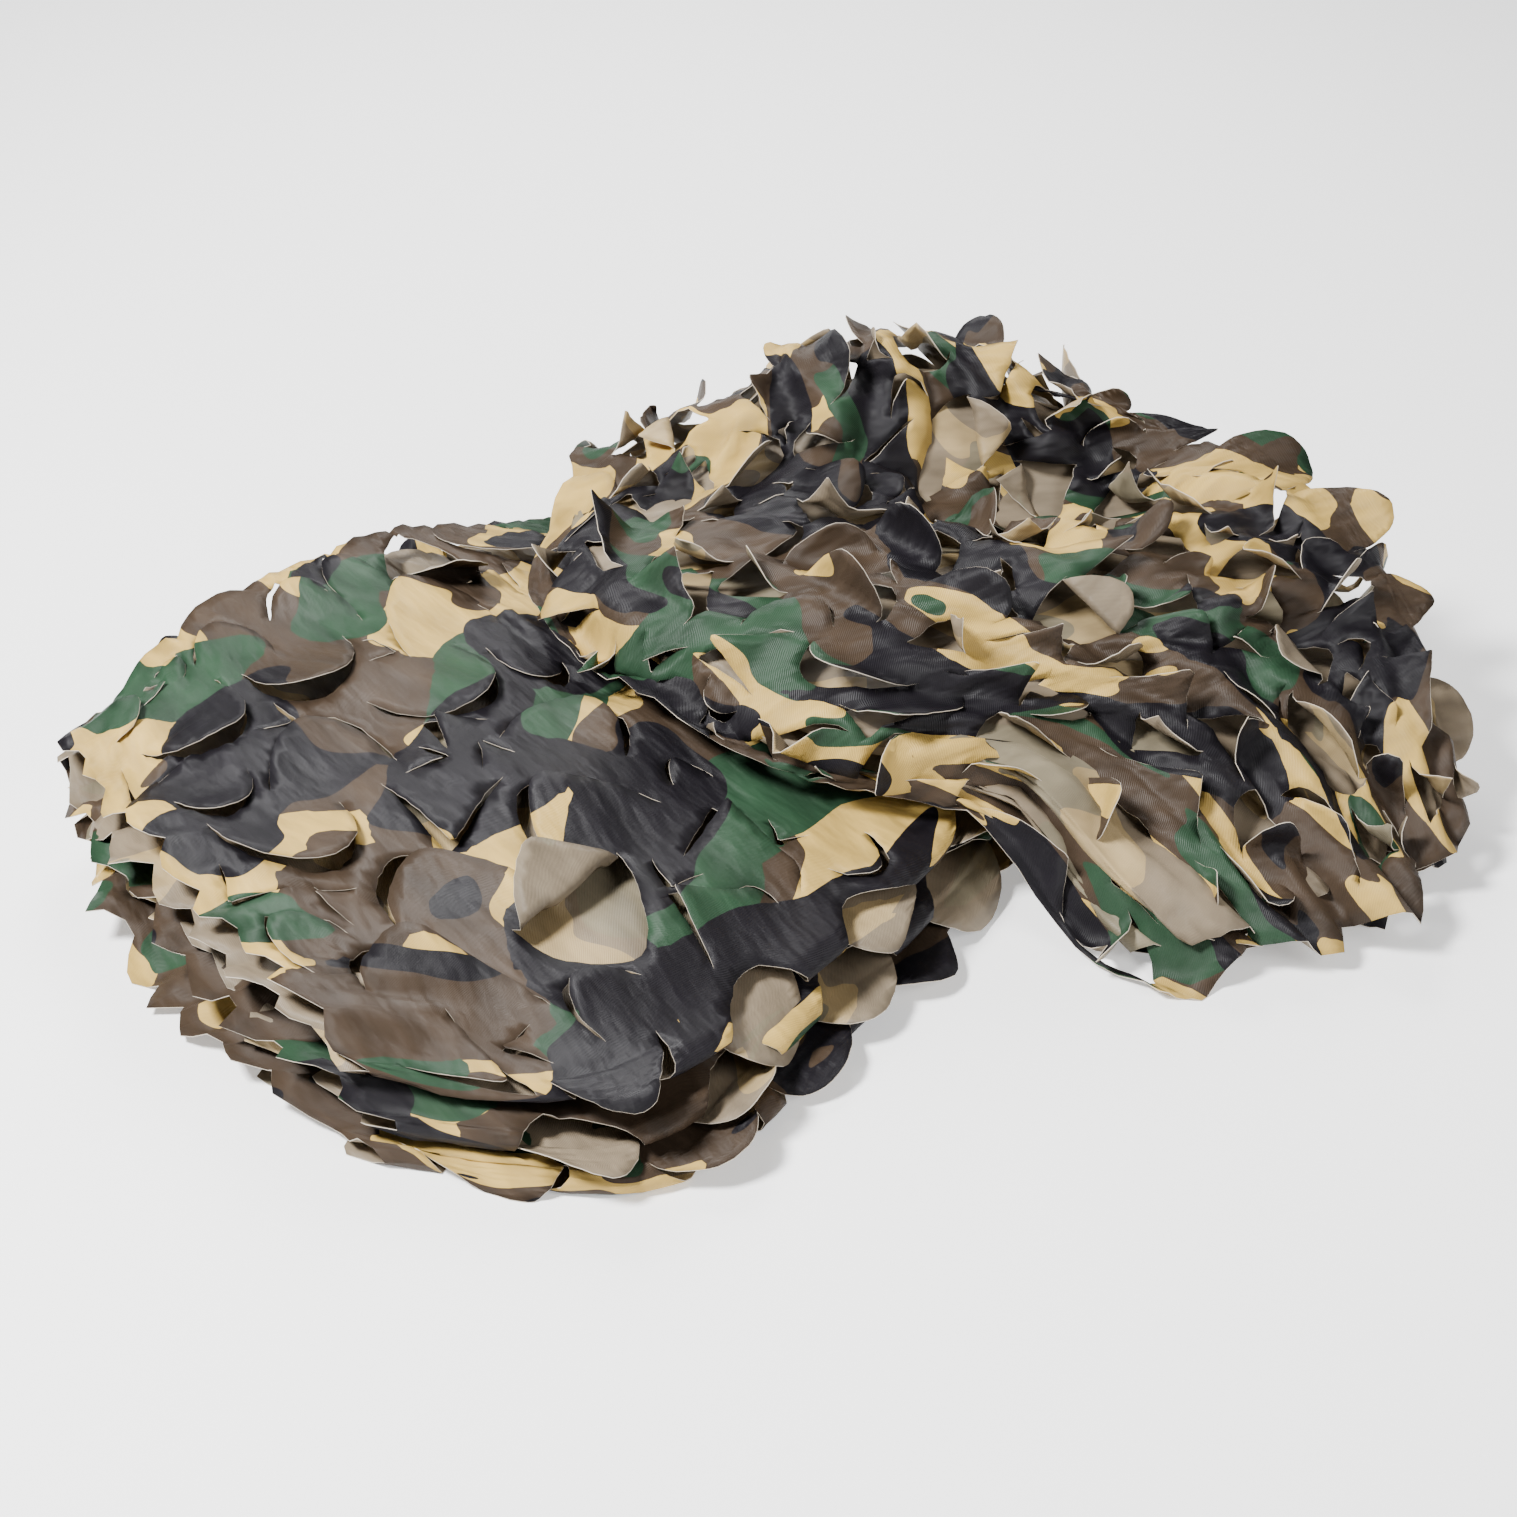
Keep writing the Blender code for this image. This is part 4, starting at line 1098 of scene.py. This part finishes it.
class Graph:
    """A material's node graph, with short calls for the nodes that this scene uses."""

    def __init__(self, name, roughness):
        self.material = bpy.data.materials.new(name)
        self.material.use_nodes = True
        self.nodes = self.material.node_tree.nodes
        self.links = self.material.node_tree.links
        self.shader = self.nodes["Principled BSDF"]
        self.shader.inputs["Roughness"].default_value = roughness
        self.shader.inputs["Specular IOR Level"].default_value = SPECULAR

    def put(self, node, name, value):
        """Sets or links one input, by its name or its number."""
        socket = node.inputs[name]
        if isinstance(value, bpy.types.NodeSocket):
            self.links.new(value, socket)
        else:
            socket.default_value = value

    def node(self, kind, **inputs):
        """A new node with some of its inputs."""
        made = self.nodes.new(kind)
        for name, value in inputs.items():
            self.put(made, name, value)
        return made

    def math(self, operation, *values):
        """The result of one sum."""
        made = self.nodes.new("ShaderNodeMath")
        made.operation = operation
        for index, value in enumerate(values):
            self.put(made, index, value)
        return made.outputs[0]

    def mix(self, share, first, second):
        """One colour over another."""
        made = self.nodes.new("ShaderNodeMix")
        made.data_type = "RGBA"
        for index, value in ((0, share), (6, first), (7, second)):
            self.put(made, index, value)
        return made.outputs[2]

    def flat_place(self, scale, shift=(0, 0, 0), turn=0.0, layer="flat"):
        """The place on the flat cloth or its print, scaled, moved and turned."""
        uv = self.nodes.new("ShaderNodeUVMap")
        uv.uv_map = layer
        moves = {"Location": shift, "Rotation": (0, 0, turn), "Scale": scale}
        return self.node("ShaderNodeMapping", Vector=uv.outputs[0], **moves).outputs[0]

    def noise(self, scale, detail=PRINT_DETAIL, **place):
        """Smooth random values over the flat cloth."""
        vector = self.flat_place(scale, **place)
        made = self.node("ShaderNodeTexNoise", Vector=vector, Scale=1.0, Detail=detail)
        made.noise_dimensions = "2D"
        return made.outputs[0]

    def leaning(self, colour):
        """How far the place leans towards a colour of the print."""
        made = self.nodes.new("ShaderNodeAttribute")
        made.attribute_name = colour + "_leaning"
        return made.outputs["Fac"]

    def print_colour(self):
        """The woodland print: a brown ground with sand, green and black patches over it."""
        colour = PRINT["brown"]
        for name, scale, shift, edge, turn in PATCHES:
            field = self.noise(scale, shift=shift, turn=turn, layer="print")
            leaned = self.math("MULTIPLY", self.leaning(name), LEANING_STRENGTH)
            total = self.math("ADD", field, leaned)
            colour = self.mix(self.math("GREATER_THAN", total, edge), colour, PRINT[name])
        return colour

    def woven(self, colour, crinkled):
        """The cloth's colour and its relief: fine diagonal ribs and small creases, which also darken and
        lighten the colour as painted shade.
        """
        creases = self.noise(CREASES, turn=CREASE_TURN, detail=CREASE_DETAIL)
        ribs = self.node("ShaderNodeTexWave", Vector=self.flat_place((1, 1, 1)), Scale=TWILL_RIBS)
        ribs.bands_direction = "DIAGONAL"
        # Painted shade: the colour is darkened and lightened by the creases and the ribs, about 1 on
        # average.
        painted_crease_shade = self.math("ADD", creases, NOISE_MIDDLE - RIB_SHADE / 2)
        light = self.math("MULTIPLY_ADD", ribs.outputs["Fac"], RIB_SHADE, painted_crease_shade)
        shade = self.nodes.new("ShaderNodeVectorMath")
        shade.operation = "SCALE"
        self.put(shade, 0, colour)
        self.put(shade, "Scale", light)
        self.put(self.shader, "Base Color", shade.outputs[0])
        relief = self.math("MULTIPLY_ADD", ribs.outputs["Fac"], TWILL_SHARE, creases)
        bump = self.node("ShaderNodeBump", Strength=crinkled, Distance=CREASE_DEPTH, Height=relief)
        self.put(self.shader, "Normal", bump.outputs[0])


def print_side():
    """The printed face: satin polyester."""
    graph = Graph("net_print", PRINT_ROUGHNESS)
    graph.woven(graph.print_colour(), PRINT_CRINKLED)
    return graph.material


def back_side():
    """The bare face, on which the print shows through faintly."""
    graph = Graph("net_back", BACK_ROUGHNESS)
    graph.woven(graph.mix(SHOWS_THROUGH, BACK_COLOUR, graph.print_colour()), BACK_CRINKLED)
    return graph.material


def cut_edge():
    """The pale cut edge, a little frayed."""
    graph = Graph("net_cut_edge", EDGE_ROUGHNESS)
    graph.put(graph.shader, "Base Color", EDGE_COLOUR)
    return graph.material


def floor():
    """The pale surface that the pile lies on."""
    mesh = bpy.data.meshes.new("floor")
    corners = [(-FLOOR, -FLOOR, 0), (FLOOR, -FLOOR, 0), (FLOOR, FLOOR, 0), (-FLOOR, FLOOR, 0)]
    mesh.from_pydata(corners, [], [(0, 1, 2, 3)])
    graph = Graph("floor", FLOOR_ROUGHNESS)
    graph.put(graph.shader, "Base Color", FLOOR_COLOUR)
    graph.put(graph.shader, "Emission Color", FLOOR_COLOUR)
    graph.put(graph.shader, "Emission Strength", FLOOR_GLOW)
    mesh.materials.append(graph.material)
    surface = placed("floor", mesh)


def aimed(place, target):
    """The turn that points an object at place towards target."""
    return (Vector(target) - Vector(place)).to_track_quat("-Z", "Y").to_euler()


def studio():
    """Soft light all round, brighter from above on the left."""
    for name, place, size, power in LIGHTS:
        lamp = bpy.data.lights.new(name, "AREA")
        lamp.size, lamp.energy = size, power
        body = placed(name, lamp)
        body.location, body.rotation_euler = place, aimed(place, CAMERA_TARGET)
    world = bpy.data.worlds.new("studio")
    world.use_nodes = True
    light = world.node_tree.nodes["Background"].inputs
    light["Color"].default_value = (1, 1, 1, 1)
    light["Strength"].default_value = WORLD_LIGHT
    bpy.context.scene.world = world


def camera():
    """The photograph's view, from the front and above."""
    lens = bpy.data.cameras.new("camera")
    lens.lens, lens.sensor_width = CAMERA_LENS, CAMERA_SENSOR
    tilt = math.radians(CAMERA_ABOVE)
    target = Vector(CAMERA_TARGET) + Vector(PILE_SHIFT)
    body = placed("camera", lens)
    body.location = target + CAMERA_AWAY * Vector((0, -math.cos(tilt), math.sin(tilt)))
    body.rotation_euler = aimed(body.location, target)
    bpy.context.scene.camera = body


def main():
    """The net, the floor it rests on, the light and the view."""
    cloth = net_cloth()
    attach(cloth, "root")
    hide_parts("camouflage_net")
    floor()
    studio()
    camera()


main()
